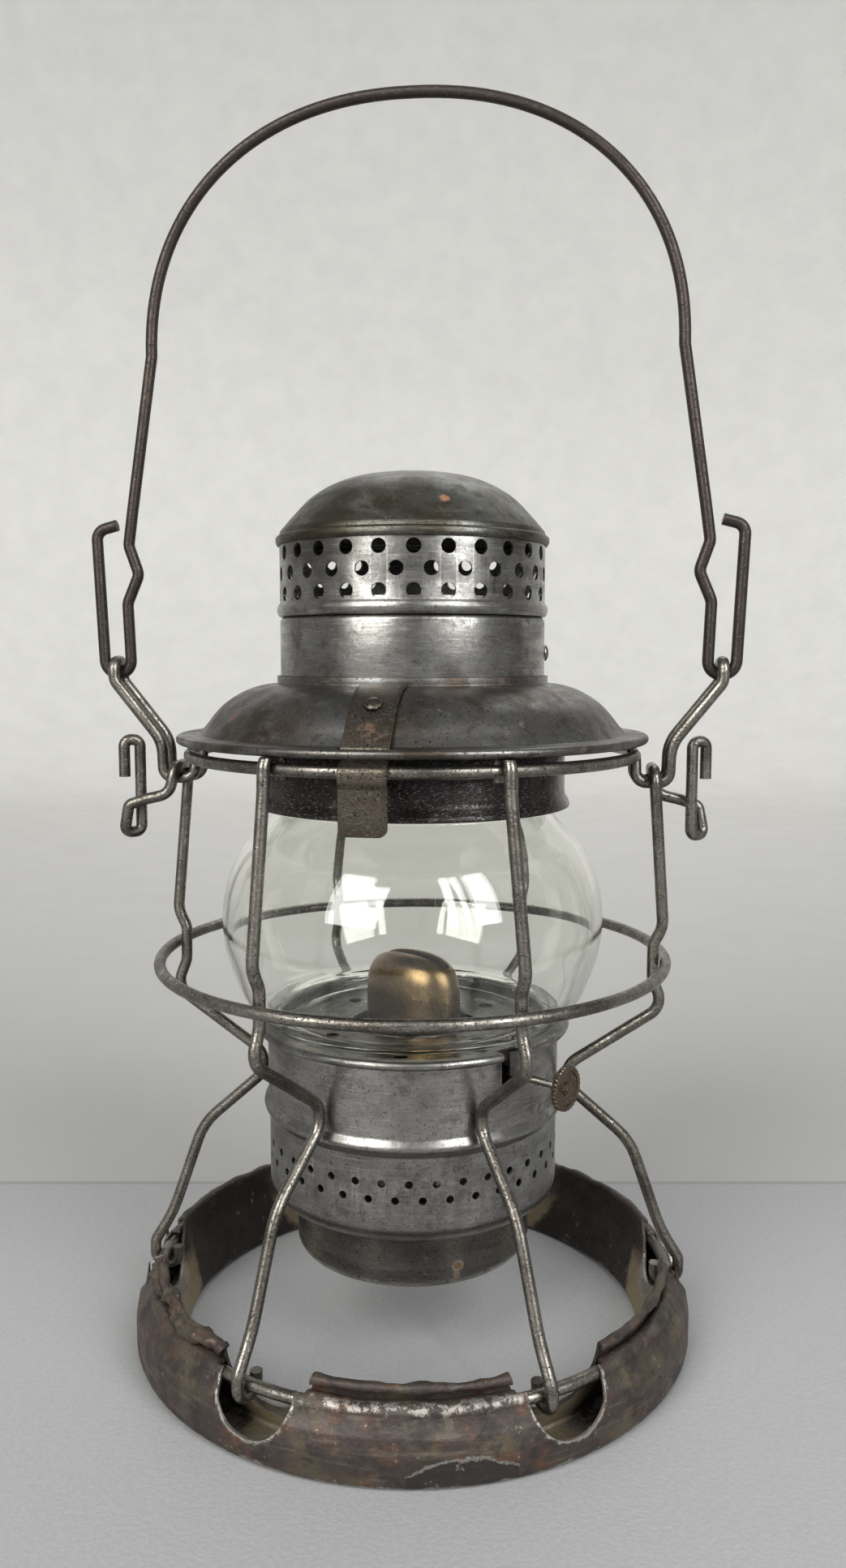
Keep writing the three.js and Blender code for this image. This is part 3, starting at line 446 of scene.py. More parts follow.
class Level:
    """A value that a node gives, with the arithmetic that leads on from it."""

    def __init__(self, graph: "Graph", socket: Socket) -> None:
        """Keeps the socket and the graph that it belongs to."""
        self.graph = graph
        self.socket = socket

    def __add__(self, other: object) -> "Level":
        """This value with another one added."""
        return self.graph.work("ADD", self, other)

    def __sub__(self, other: object) -> "Level":
        """This value less another one."""
        return self.graph.work("SUBTRACT", self, other)

    def __rsub__(self, other: float) -> "Level":
        """A number less this value."""
        return self.graph.work("SUBTRACT", other, self)

    def __mul__(self, other: object) -> "Level":
        """This value times another one."""
        return self.graph.work("MULTIPLY", self, other)

    def __truediv__(self, other: float) -> "Level":
        """This value over a number."""
        return self.graph.work("DIVIDE", self, other)

    def __mod__(self, other: float) -> "Level":
        """What whole steps of a number leave of this value."""
        return self.graph.work("FLOORED_MODULO", self, other)

    def __abs__(self) -> "Level":
        """This value without its sign."""
        return self.graph.work("ABSOLUTE", self)


class Graph:
    """The node tree of one finish, built link by link."""

    MIX_FIRST = 6
    MIX_SECOND = 7
    MIX_RESULT = 2

    def __init__(self, name: str) -> None:
        """Starts a material that has only its shader."""
        self.material = bpy.data.materials.new(name)
        self.material.use_nodes = True
        self.tree = self.material.node_tree
        self.shader = self.tree.nodes["Principled BSDF"]

    def add(self, kind: str, inputs: dict[object, object], **settings: object) -> bpy.types.Node:
        """Adds a node.

        Args:
            kind: What the node is, without the words that all of them start with.
            inputs: The link or the value of each input that isn't left as it is.
            settings: The node's own settings.

        Returns:
            The node.
        """
        node = self.tree.nodes.new("ShaderNode" + kind)
        for key, value in settings.items():
            setattr(node, key, value)
        return self.feed(node, inputs)

    def feed(self, node: bpy.types.Node, inputs: dict[object, object]) -> bpy.types.Node:
        """Links inputs of a node to other nodes, or sets their values."""
        for key, value in inputs.items():
            socket = node.inputs[key]
            if isinstance(value, Level):
                self.tree.links.new(value.socket, socket)
            elif isinstance(value, tuple) and socket.type == "RGBA":
                socket.default_value = (*value, 1.0)
            else:
                socket.default_value = value
        return node

    def finish(self, inputs: dict[object, object]) -> Material:
        """Feeds the shader and gives the finished material."""
        self.feed(self.shader, inputs)
        return self.material

    def place(self) -> Level:
        """The place on the piece, in metres."""
        return Level(self, self.add("TexCoord", {}).outputs["Object"])

    def axes(self) -> list[Level]:
        """The three parts of the place on the piece."""
        return [Level(self, part) for part in self.add("SeparateXYZ", {0: self.place()}).outputs]

    def scaled(self, factors: Place) -> Level:
        """The place, stretched by a factor along each axis."""
        node = self.add("Mapping", {"Vector": self.place(), "Scale": factors}, vector_type="POINT")
        return Level(self, node.outputs["Vector"])

    def lathe(self, across: float, along: float) -> Level:
        """The place, drawn out round the axis as the marks of a spinning lathe are.

        Args:
            across: The factor across the marks.
            along: The factor along the marks.

        Returns:
            The stretched place.
        """
        x, y, z = self.axes()
        reach = self.root(x * x + y * y)
        node = self.add("CombineXYZ", {0: x * along, 1: y * along, 2: (z + reach) * across})
        return Level(self, node.outputs[0])

    def work(self, operation: str, a: object, b: object = 0.0) -> Level:
        """The result of one step of arithmetic."""
        return Level(self, self.add("Math", {0: a, 1: b}, operation=operation).outputs[0])

    def most(self, a: object, b: object) -> Level:
        """The larger one of two values."""
        return self.work("MAXIMUM", a, b)

    def root(self, a: object) -> Level:
        """The square root of a value."""
        return self.work("SQRT", a)

    def noise(self, vector: Level, scale: float, detail: float = 4.0, roughness: float = 0.55) -> Level:
        """Cloudy noise from 0 to 1."""
        inputs = {"Vector": vector, "Scale": scale, "Detail": detail, "Roughness": roughness}
        return Level(self, self.add("TexNoise", inputs).outputs[0])

    def band(self, value: object, low: float, high: float, first: float = 0.0, last: float = 1.0) -> Level:
        """A value drawn from one range to another and kept inside it."""
        node = self.add("MapRange", dict(enumerate((value, low, high, first, last))), clamp=True)
        return Level(self, node.outputs[0])

    def blend(self, share: object, a: object, b: object) -> Level:
        """A mix of two colours."""
        node = self.add("Mix", {}, data_type="RGBA")
        self.feed(node, {0: share, self.MIX_FIRST: a, self.MIX_SECOND: b})
        return Level(self, node.outputs[self.MIX_RESULT])

    def bump(self, height: Level, depth: float, under: Level | None = None) -> Level:
        """A surface raised by a height of this many millimetres, over another bump where there is one."""
        node = self.add("Bump", {"Strength": 1.0, "Distance": depth * MM, "Height": height})
        if under is not None:
            self.feed(node, {"Normal": under})
        return Level(self, node.outputs[0])

    def near(self, point: Place, radius: float, ragged: Level) -> Level:
        """A ragged spot round one place of the piece.

        Args:
            point: The middle of the spot.
            radius: Its radius.
            ragged: Noise that frays its edge.

        Returns:
            1 in the spot and 0 outside it.
        """
        middle = tuple(value * MM for value in point)
        node = self.add("VectorMath", {0: self.place(), 1: middle}, operation="DISTANCE")
        frayed = Level(self, node.outputs["Value"]) + ragged * (radius * MM)
        return self.band(frayed, radius * 1.1 * MM, radius * 1.6 * MM, 1.0, 0.0)


def dimmed(colour: Colour, share: float) -> Colour:
    """A colour taken down, or up, to a share of itself."""
    return tuple(share * part for part in colour)


class Grain(Enum):
    """How the marks of use run on a metal piece."""

    LATHE = "round the axis"
    LOOSE = "every way"


@dataclass(frozen=True)
class Notches:
    """The round notches in the base band, which its paint knows as well."""

    count: int = 6
    turn: float = 6.0
    radius: float = 12.2
    height: float = 19.3


NOTCHES = Notches()


@dataclass(frozen=True)
class Finish:
    """What every finish has: its name and the record's slot."""

    name: str
    slot: str

    def material(self) -> Material:
        """The material of this finish, made once."""
        found = bpy.data.materials.get(self.name)
        return found if found else self.make()

    def make(self) -> Material:
        """Builds the material."""
        raise NotImplementedError


@dataclass(frozen=True)
class Metal(Finish):
    """Old sheet or wire: a tone, darker stains, scratches, pits and rust."""

    tone: Colour = (0.3, 0.3, 0.3)
    stain: Colour = (0.08, 0.07, 0.06)
    bright: Colour = (0.55, 0.54, 0.52)
    rust_colour: Colour = (0.16, 0.06, 0.025)
    metallic: float = 0.95
    roughness: float = 0.38
    spread: float = 0.14
    staining: float = 0.5
    scratches: float = 0.35
    pits: float = 0.3
    rust: float = 0.2
    relief: float = 0.02
    dents: float = 0.25
    grain: Grain = Grain.LATHE
    spots: tuple[tuple[Place, float], ...] = ()

    def make(self) -> Material:
        """Builds the material from layers of noise."""
        g = Graph(self.name)
        place = g.place()
        if self.grain is Grain.LATHE:
            fine = g.noise(g.lathe(1900.0, 130.0), 1.0, 6.0, 0.66)
            coarse = g.noise(g.lathe(300.0, 48.0), 1.0, 6.0, 0.66)
        else:
            fine = g.noise(g.scaled((900.0, 900.0, 2100.0)), 1.0, 6.0, 0.65)
            coarse = g.noise(place, 140.0, 5.0, 0.6)
        clouds = g.noise(place, 38.0, 6.0, 0.62)
        blots = g.noise(place, 170.0, 7.0, 0.68)
        specks = g.noise(place, 1500.0, 3.0, 0.6)
        stained = g.band(clouds, 0.43, 0.6) * self.staining
        blotted = g.band(blots, 0.5, 0.62) * (self.staining * 0.85)
        streaked = g.band(coarse, 0.45, 0.64) * (self.staining * 0.7)
        marked = g.most(g.most(stained, streaked), blotted)
        colour = g.blend(marked, self.tone, self.stain)
        scratched = g.band(fine, 0.55, 0.68) * self.scratches
        colour = g.blend(scratched, colour, self.bright)
        pitted = g.band(specks, 0.57, 0.66) * self.pits
        colour = g.blend(pitted, colour, dimmed(self.stain, 0.3))
        patches = g.noise(place, 90.0, 7.0, 0.7)
        rusty = g.band(patches, 0.72 - 0.22 * self.rust, 0.8 - 0.16 * self.rust)
        rusty = rusty * min(1.0, 2.5 * self.rust)
        for point, radius in self.spots:
            rusty = g.most(rusty, g.near(point, radius, g.noise(place, 700.0, 4.0)))
        colour = g.blend(rusty, colour, self.rust_colour)
        rough = g.band(coarse, 0.3, 0.7, self.roughness - self.spread / 2, self.roughness + self.spread / 2)
        dented = g.bump(g.noise(place, 75.0, 3.0, 0.5), self.dents)
        return g.finish({
            "Base Color": colour,
            "Metallic": g.band(rusty, 0.0, 1.0, self.metallic, 0.1),
            "Roughness": rough + marked * 0.14 + rusty * 0.35,
            "Normal": g.bump(fine * 0.5 - pitted + rusty * specks, self.relief, dented),
        })


@dataclass(frozen=True)
class BandPaint(Finish):
    """The base band: brown paint with an olive cast, rubbed to bare steel at its edges, with painted shade
    inside the trough and painted light inside the notches.
    """

    paint: Colour = (0.036, 0.026, 0.022)
    olive: Colour = (0.07, 0.056, 0.034)
    # near-black used for random dark patches and the paint flake, and also as the painted shade inside the
    # trough
    inside: Colour = (0.016, 0.013, 0.012)
    bare: Colour = (0.36, 0.34, 0.31)
    reach: float = 87.6

    def make(self) -> Material:
        """Builds the material, with the worn edges worked out from the notches."""
        g = Graph(self.name)
        place = g.place()
        x, y, z = g.axes()
        angle = g.work("ARCTAN2", x, y * -1.0)
        pitch = 2 * math.pi / NOTCHES.count
        shifted = angle - math.radians(NOTCHES.turn)
        wrapped = shifted % pitch - pitch / 2
        sideways = wrapped * (self.reach * MM)
        upwards = z - NOTCHES.height * MM
        reach = g.root(sideways * sideways + upwards * upwards)
        ragged = g.noise(place, 320.0, 6.0, 0.7)
        frayed = reach + g.band(ragged, 0.3, 0.7, -0.0011, 0.0011)
        radius = NOTCHES.radius * MM
        lip = g.band(frayed, radius + 0.0002, radius + 0.0008, 1.0, 0.0)
        foot = z + g.band(g.noise(place, 150.0, 6.0, 0.7), 0.35, 0.75, 0.0012, -0.0016)
        worn_foot = g.band(foot, 0.0007, 0.0013, 1.0, 0.0)
        worn = g.most(lip * 0.85, worn_foot * 0.7)
        chips = g.band(g.noise(place, 260.0, 8.0, 0.75), 0.62, 0.66)
        worn = g.most(worn, chips * 0.5)
        radial = g.root(x * x + y * y)
        outside = g.band(radial, 0.0822, 0.0832)
        fray = g.band(g.noise(place, 210.0, 8.0, 0.75), 0.3, 0.7, -0.0022, 0.0022)
        crest = g.band(z + fray, 0.019, 0.0199)
        front = g.band(angle, math.radians(-16), math.radians(-13))
        front = front * g.band(angle, math.radians(26), math.radians(29), 1.0, 0.0)
        gaps = g.band(g.noise(place, 330.0, 6.0, 0.7), 0.47, 0.53)
        torn = crest * front * outside * gaps
        worn = g.most(worn, torn * 0.7)
        aside = angle / math.radians(10) - 1.5
        edge = 0.0088 - aside * aside * 0.0046
        edge = edge + g.band(g.noise(place, 300.0, 6.0, 0.7), 0.3, 0.7, -0.0008, 0.0008)
        within = g.band(abs(aside), 0.95, 1.0, 1.0, 0.0) * outside
        flake = g.band(z - edge, -0.0003, 0.0, 1.0, 0.0) * within
        rim = g.band(abs(z - edge), 0.00025, 0.0005, 1.0, 0.0) * within
        worn = g.most(worn, rim * 0.8)
        clouds = g.noise(place, 60.0, 6.0, 0.66)
        colour = g.blend(g.band(clouds, 0.47, 0.62), self.paint, self.olive)
        rust = g.band(g.noise(place, 130.0, 7.0, 0.7), 0.52, 0.62)
        colour = g.blend(rust * 0.7, colour, (0.085, 0.036, 0.018))
        dark = g.band(g.noise(place, 90.0, 7.0, 0.7), 0.5, 0.58)
        colour = g.blend(dark * 0.75, colour, self.inside)
        streaks = g.band(g.noise(g.lathe(700.0, 60.0), 1.0, 6.0, 0.65), 0.55, 0.65)
        colour = g.blend(streaks * 0.35, colour, (0.13, 0.11, 0.085))
        scoop = g.band(frayed, radius + 0.008, radius + 0.010, 1.0, 0.0)
        # painted light: the inner wall seen through each notch gets the band's real olive cast, lifted 2.7
        # times to stand in for light falling there
        painted_light_olive = scoop * g.band(radial, 0.0838, 0.0848, 0.85, 0.0)
        painted_light_olive = painted_light_olive * g.band(z, 0.0105, 0.0145, 1.0, 0.0)
        colour = g.blend(painted_light_olive, colour, dimmed(self.olive, 2.7))
        # painted shade: the inner faces of the trough are darkened, more so towards the rear, where shade
        # falls inside it
        behind = g.band(radial, 0.0795, 0.0815, 0.75, 0.0) * (1.0 - scoop)
        painted_hollow_shade = behind * g.band(y, -0.03, 0.01, 0.35, 1.0)
        colour = g.blend(g.most(painted_hollow_shade, flake * 0.85), colour, self.inside)
        colour = g.blend(worn, colour, self.bare)
        rough = g.band(g.noise(place, 180.0, 6.0, 0.7), 0.35, 0.65, 0.34, 0.62)
        height = g.noise(place, 420.0, 7.0, 0.72) - worn * 0.3 - flake * 0.9
        knocked = g.bump(g.noise(place, 110.0, 4.0, 0.55), 0.9)
        return g.finish({
            "Base Color": colour,
            "Metallic": g.band(worn, 0.0, 1.0, 0.3, 1.0),
            "Roughness": rough - worn * 0.15,
            "Normal": g.bump(height, 0.28, knocked),
        })


@dataclass(frozen=True)
class Glass(Finish):
    """Clear blown glass with a faint tint, a slight wave, smears and dust."""

    tint: Colour = (0.956, 0.964, 0.928)
    index: float = 1.47

    def make(self) -> Material:
        """Builds the material."""
        g = Graph(self.name)
        place = g.place()
        dust = g.band(g.noise(place, 1100.0, 3.0, 0.6), 0.68, 0.74)
        smear = g.band(g.noise(place, 60.0, 6.0, 0.7), 0.52, 0.7)
        colour = g.blend(dust * 0.3, self.tint, (0.6, 0.57, 0.48))
        wave = g.noise(place, 30.0, 2.0, 0.4)
        return g.finish({
            "Base Color": colour,
            "Roughness": smear * 0.012 + dust * 0.08,
            "IOR": self.index,
            "Transmission Weight": 1.0,
            "Normal": g.bump(wave + dust * 0.05, 0.07),
        })


@dataclass(frozen=True)
class Cotton(Finish):
    """The woven wick, scorched at its top."""

    thread: Colour = (0.62, 0.55, 0.42)
    scorch: Colour = (0.03, 0.024, 0.02)
    top: float = 115.0
    burnt: float = 4.0

    def make(self) -> Material:
        """Builds the material."""
        g = Graph(self.name)
        place = g.place()
        wave = g.add("TexWave", {"Vector": place, "Scale": 420.0, "Distortion": 1.5},
                     wave_type="BANDS", bands_direction="Z")
        rows = Level(g, wave.outputs["Fac"])
        _, _, z = g.axes()
        burnt = g.band(z + g.noise(place, 500.0, 4.0) * 0.004, (self.top - self.burnt) * MM, self.top * MM)
        colour = g.blend(rows, dimmed(self.thread, 0.6), self.thread)
        return g.finish({
            "Base Color": g.blend(burnt, colour, self.scorch),
            "Roughness": 0.95,
            "Sheen Weight": 0.3,
            "Normal": g.bump(rows, 0.12),
        })


@dataclass(frozen=True)
class Backdrop(Finish):
    """The pale floor with the seam behind the lantern. Places are in metres and the slope in degrees."""

    tone: Colour = (0.305, 0.305, 0.308)
    beyond: Colour = (0.325, 0.321, 0.312)
    far_wall: Colour = (0.78, 0.77, 0.742)
    seam: float = 0.1
    wall_end: float = 1.5
    slope: float = 6.0

    def make(self) -> Material:
        """Builds the material: fine speckle before the seam, soft mottling beyond it."""
        g = Graph(self.name)
        place = g.place()
        x, y, _ = g.axes()
        slope = math.radians(self.slope)
        far = y * math.cos(slope) - x * math.sin(slope)
        past = g.band(far, self.seam - 0.0006, self.seam + 0.0006)
        line = g.band(abs(far - self.seam), 0.0004, 0.0022, 1.0, 0.0)
        mottle = g.band(g.noise(place, 22.0, 6.0, 0.62), 0.35, 0.65)
        speckle = g.band(g.noise(place, 700.0, 4.0, 0.65), 0.4, 0.62)
        near = g.blend(speckle, dimmed(self.tone, 0.93), self.tone)
        wall = g.blend(g.band(far, self.seam, self.wall_end), self.beyond, self.far_wall)
        wall = g.blend(mottle * 0.1, wall, self.tone)
        colour = g.blend(past, near, wall)
        colour = g.blend(line * 0.45, colour, dimmed(self.tone, 0.45))
        return g.finish({"Base Color": colour, "Roughness": 0.6, "Normal": g.bump(speckle, 0.05)})


BARE_SHEET = Metal("tarnished_sheet", "tinned_sheet", tone=(0.265, 0.26, 0.243),
                   stain=(0.042, 0.037, 0.032), roughness=0.25, scratches=0.35, pits=0.5, rust=0.14,
                   staining=0.7, dents=0.35)
POT_SHEET = Metal("pot_sheet", "tinned_sheet", tone=(0.27, 0.263, 0.25), stain=(0.06, 0.053, 0.045),
                  roughness=0.27, scratches=0.35, pits=0.6, rust=0.18, staining=0.65, dents=0.35)
FOUNT_SHEET = Metal("oily_fount_sheet", "fount_sheet", tone=(0.36, 0.345, 0.32),
                    stain=(0.11, 0.097, 0.08), roughness=0.27, scratches=0.3, pits=1.0, rust=0.35,
                    staining=0.7, rust_colour=(0.09, 0.05, 0.022),
                    spots=(((17.2, -33.0, 34.0), 1.7), ((17.0, -33.2, 31.0), 1.0)))
WIRE = Metal("worn_wire", "frame_wire", tone=(0.22, 0.205, 0.178), stain=(0.05, 0.041, 0.032),
             roughness=0.27, spread=0.2, scratches=0.5, pits=0.9, rust=0.3, staining=0.75,
             rust_colour=(0.09, 0.042, 0.02), relief=0.06, dents=0.1, grain=Grain.LOOSE)
BAIL_WIRE = Metal("blackened_bail_wire", "bail_wire", tone=(0.036, 0.027, 0.022),
                  stain=(0.015, 0.011, 0.009), bright=(0.17, 0.145, 0.12),
                  rust_colour=(0.07, 0.03, 0.014), metallic=0.6, roughness=0.36, scratches=0.3, pits=0.7,
                  rust=0.45, relief=0.07, dents=0.1, grain=Grain.LOOSE)
DOME_SHEET = Metal("smoked_dome_sheet", "dome_sheet", tone=(0.13, 0.13, 0.116),
                   stain=(0.05, 0.042, 0.028), bright=(0.24, 0.23, 0.2), roughness=0.32, scratches=0.4,
                   pits=0.8, rust=0.3, staining=0.95, spots=(((12.6, -31.9, 259.7), 1.6),),
                   rust_colour=(0.2, 0.088, 0.04))
BRIM_SHEET = Metal("rusty_brim_sheet", "brim_sheet", tone=(0.15, 0.15, 0.146),
                   stain=(0.055, 0.042, 0.031), bright=(0.25, 0.235, 0.21), roughness=0.31, scratches=0.4,
                   pits=0.9, rust=0.55, staining=0.95, rust_colour=(0.1, 0.045, 0.022), dents=0.4)
DARK_SHEET = Metal("glossy_black_sheet", "dark_sheet", tone=(0.022, 0.018, 0.016),
                   stain=(0.008, 0.007, 0.006), bright=(0.4, 0.39, 0.37), metallic=0.5, roughness=0.2,
                   scratches=0.5, pits=0.6, rust=0.5, rust_colour=(0.05, 0.016, 0.01), dents=0.8,
                   relief=0.06, grain=Grain.LOOSE)
STRAP_STEEL = Metal("speckled_strap_steel", "strap_steel", tone=(0.085, 0.07, 0.055),
                    stain=(0.03, 0.024, 0.018), bright=(0.3, 0.28, 0.25), roughness=0.34, scratches=0.4,
                    pits=1.0, rust=0.5, rust_colour=(0.09, 0.042, 0.02), relief=0.07, grain=Grain.LOOSE)
WHEEL_STEEL = Metal("brown_wheel_steel", "wheel_steel", tone=(0.14, 0.105, 0.07),
                    stain=(0.045, 0.034, 0.024), roughness=0.38, scratches=0.4, pits=0.9, rust=0.5,
                    relief=0.07, grain=Grain.LOOSE)
BURNER_BRASS = Metal("aged_burner_brass", "burner_brass", tone=(0.24, 0.165, 0.085),
                     stain=(0.085, 0.06, 0.036), bright=(0.6, 0.42, 0.2), roughness=0.3, scratches=0.3,
                     pits=0.5, rust=0.15, rust_colour=(0.04, 0.026, 0.016), dents=0.05, grain=Grain.LOOSE)
BASE_PAINT = BandPaint("rubbed_base_paint", "base_paint")
CLEAR_GLASS = Glass("old_clear_glass", "clear_glass")
WICK_COTTON = Cotton("scorched_wick_cotton", "wick_cotton")
PALE_FLOOR = Backdrop("pale_floor", "")


@dataclass
class Shared:
    """The sizes that several sub-assemblies have in common."""

    wire: float = 3.6
    sheet: float = 0.8
    ring_radius: float = 69.0
    ring_height: float = 185.7
    base_radius: float = 82.3
    base_height: float = 18.2
    ear_reach: float = 94.8
    ear_top: float = 213.9


@dataclass
class GuardFrame(Shared):
    """The wire frame: both rings, the hoop, the ears and the six uprights."""

    touch: float = 0.15
    hoop_radius: float = 79.3
    hoop_height: float = 121.5
    saddle_drop: float = 8.5
    saddle_width: float = 10.4
    ear_half_span: float = 4.25
    ear_tip: float = 6.0
    waist_reach: float = 46.3
    waist_bend: float = 7.0
    waist_cut: float = 0.47
    hook_thickness: float = 1.2

    @property
    def pitch(self) -> float:
        """The distance between the middles of two wires that touch."""
        return self.wire + self.touch

    def hand(self, name: str, route: list[Vector], node: str) -> None:
        """Makes one wire of the frame and hands it over."""
        Bench.hand_over(Bench.wire(name, route, self.wire), node, "frame", WIRE)

    def rings(self) -> None:
        """The guard hoop and the ring in the base, each with its butted ends at the rear."""
        for name, node, radius, height in (
            ("hoop_wire", "guard_hoop", self.hoop_radius, self.hoop_height),
            ("base_wire", "base_ring", self.base_radius, self.base_height),
        ):
            gap = math.degrees(GAP / radius)
            route = ring_route(radius, height, 180 + gap / 2, 540 - gap / 2, 160)
            self.hand(name, route, node)

    def top_ring(self) -> None:
        """The top ring, whose wire dips into a saddle and rises into an ear at each side."""
        leave = math.degrees(math.asin(self.ear_half_span / self.ring_radius))
        reach = self.ring_radius * math.cos(math.radians(leave))
        low = self.ring_height - self.saddle_drop
        gap = math.degrees(GAP / 2 / self.ring_radius)

        def leg(side: float, hand: float) -> list[Corner]:
            """One leg of an ear, from the ring to the ear's top."""
            places = [
                (reach, self.ring_height, 0.0),
                (reach + 0.3, low, 3.4),
                (reach + self.saddle_width, low, 3.4),
                (reach + self.saddle_width + 0.3, self.ring_height + 3, 12.0),
                (self.ear_reach, self.ear_top - self.ear_tip, self.ear_half_span),
                (self.ear_reach, self.ear_top, self.ear_half_span),
            ]
            return [(Vector((hand * x, side * self.ear_half_span, z)), bend) for x, z, bend in places]

        def ear(hand: float, first: float) -> list[Vector]:
            """Both legs of an ear as one route."""
            return bent([*leg(first, hand), *reversed(leg(-first, hand))])

        def ring(start: float, stop: float, pieces: int) -> list[Vector]:
            """A stretch of the ring."""
            return ring_route(self.ring_radius, self.ring_height, start, stop, pieces)

        route = [
            *ring(180 - gap, 90 + leave, 36)[:-1],
            *ear(1, 1),
            *ring(90 - leave, -90 + leave, 72)[1:-1],
            *ear(-1, -1),
            *ring(-90 - leave, -180 + gap, 36)[1:],
        ]
        self.hand("top_ring_wire", route, "top_ring")

    def lower_leg(self, top: float, foot: float, start: float) -> list[Corner]:
        """The stretch of an upright from its kink at the hoop to its curl round the base ring.

        Args:
            top: The azimuth of its top.
            foot: The azimuth of its foot.
            start: The height at which it has the azimuth of its top.

        Returns:
            The corners with their bends.
        """
        bow = self.hoop_radius - self.pitch
        waist = self.waist_reach + GAP + self.wire / 2 - self.waist_bend * self.waist_cut
        heel_reach = self.base_radius + self.pitch
        heel = self.base_height - self.pitch

        def corner(radius: float, height: float, bend: float) -> Corner:
            """One corner at the azimuth of its height."""
            share = (height - self.base_height) / (start - self.base_height)
            return at(foot + (top - foot) * share, radius, height), bend

        return [
            corner(bow + 2.9, self.hoop_height + 11, 9),
            corner(bow, self.hoop_height + 5.5, 7),
            corner(bow, self.hoop_height - 5.5, 7),
            corner(self.hoop_radius - 0.3, 107, 16),
            corner(waist, 83.5, self.waist_bend),
            corner(69.8, 61.8, 22),
            corner(80, 32, 40),
            corner(heel_reach, self.base_height + self.pitch, self.pitch),
            corner(heel_reach, heel, self.pitch),
            corner(heel_reach - 2 * self.pitch, heel, self.pitch),
            corner(heel_reach - 2 * self.pitch, self.base_height + self.wire / 2, 0),
        ]

    def hooked(self, node: str, top: float, foot: float) -> None:
        """A front or rear upright, hooked over the top ring."""
        inside, outside = self.ring_radius - self.pitch, self.ring_radius + self.pitch
        crown = self.ring_height + self.pitch
        corners = [
            (at(top, inside, crown - 7), 0.0),
            (at(top, inside, crown), self.pitch),
            (at(top, outside, crown), self.pitch),
            (at(top, outside + 0.3, crown - 10), 30.0),
            *self.lower_leg(top, foot, self.ring_height),
        ]
        wire = Bench.wire(node + "_wire", bent(corners), self.wire)
        low = self.ring_height + self.wire / 2 + GAP + self.hook_thickness
        side = self.base_radius
        Bench.cut(wire, Bench.block("press", (-side, -side, low), (side, side, low + PAST)))
        Bench.hand_over(Bench.soften(wire, 0.35, 40), node, "frame", WIRE)

    def side(self, node: str, hand: float) -> None:
        """A side upright, hung on the saddle, whose end is the open side hook."""
        span = self.ear_half_span + self.pitch
        crown = self.ring_height - self.saddle_drop + self.pitch
        eye = self.ring_radius + 5.6
        half = self.wire / 2
        riser = span - self.pitch - GAP
        places = [
            (91.4, span - half, 177.5, 0.0),
            (91.4, span - half, 189.2, 2.2),
            (87.0, riser, 189.2, 2.2),
            (87.0, riser, 159.8, 2.2),
            (91.4, span - 0.3, 159.8, 2.2),
            (91.4 - half, span + 0.3, 170.6 - half, 2.2),
            (84.0, span + 0.3, 170.6, 5.0),
            (eye + half, span, 170.6 + half, 5.0),
            (eye, span, crown, self.pitch),
            (eye, -span, crown, self.pitch),
        ]
        corners = [(Vector((x, y, z)), bend) for x, y, z, bend in places]
        top = math.degrees(math.atan2(eye, span))
        route = bent([*corners, *self.lower_leg(top, 92, crown)])
        turned = [Vector((hand * p.x, hand * p.y, p.z)) for p in route]
        self.hand(node + "_wire", turned, node)

    def build(self) -> None:
        """Makes every wire of the frame."""
        self.rings()
        self.top_ring()
        self.hooked("upright_front_left", -26.5, -27)
        self.hooked("upright_front_right", 27, 32)
        self.hooked("upright_rear_right", 153, 152)
        self.hooked("upright_rear_left", -153, -148)
        self.side("upright_side_right", 1)
        self.side("upright_side_left", -1)


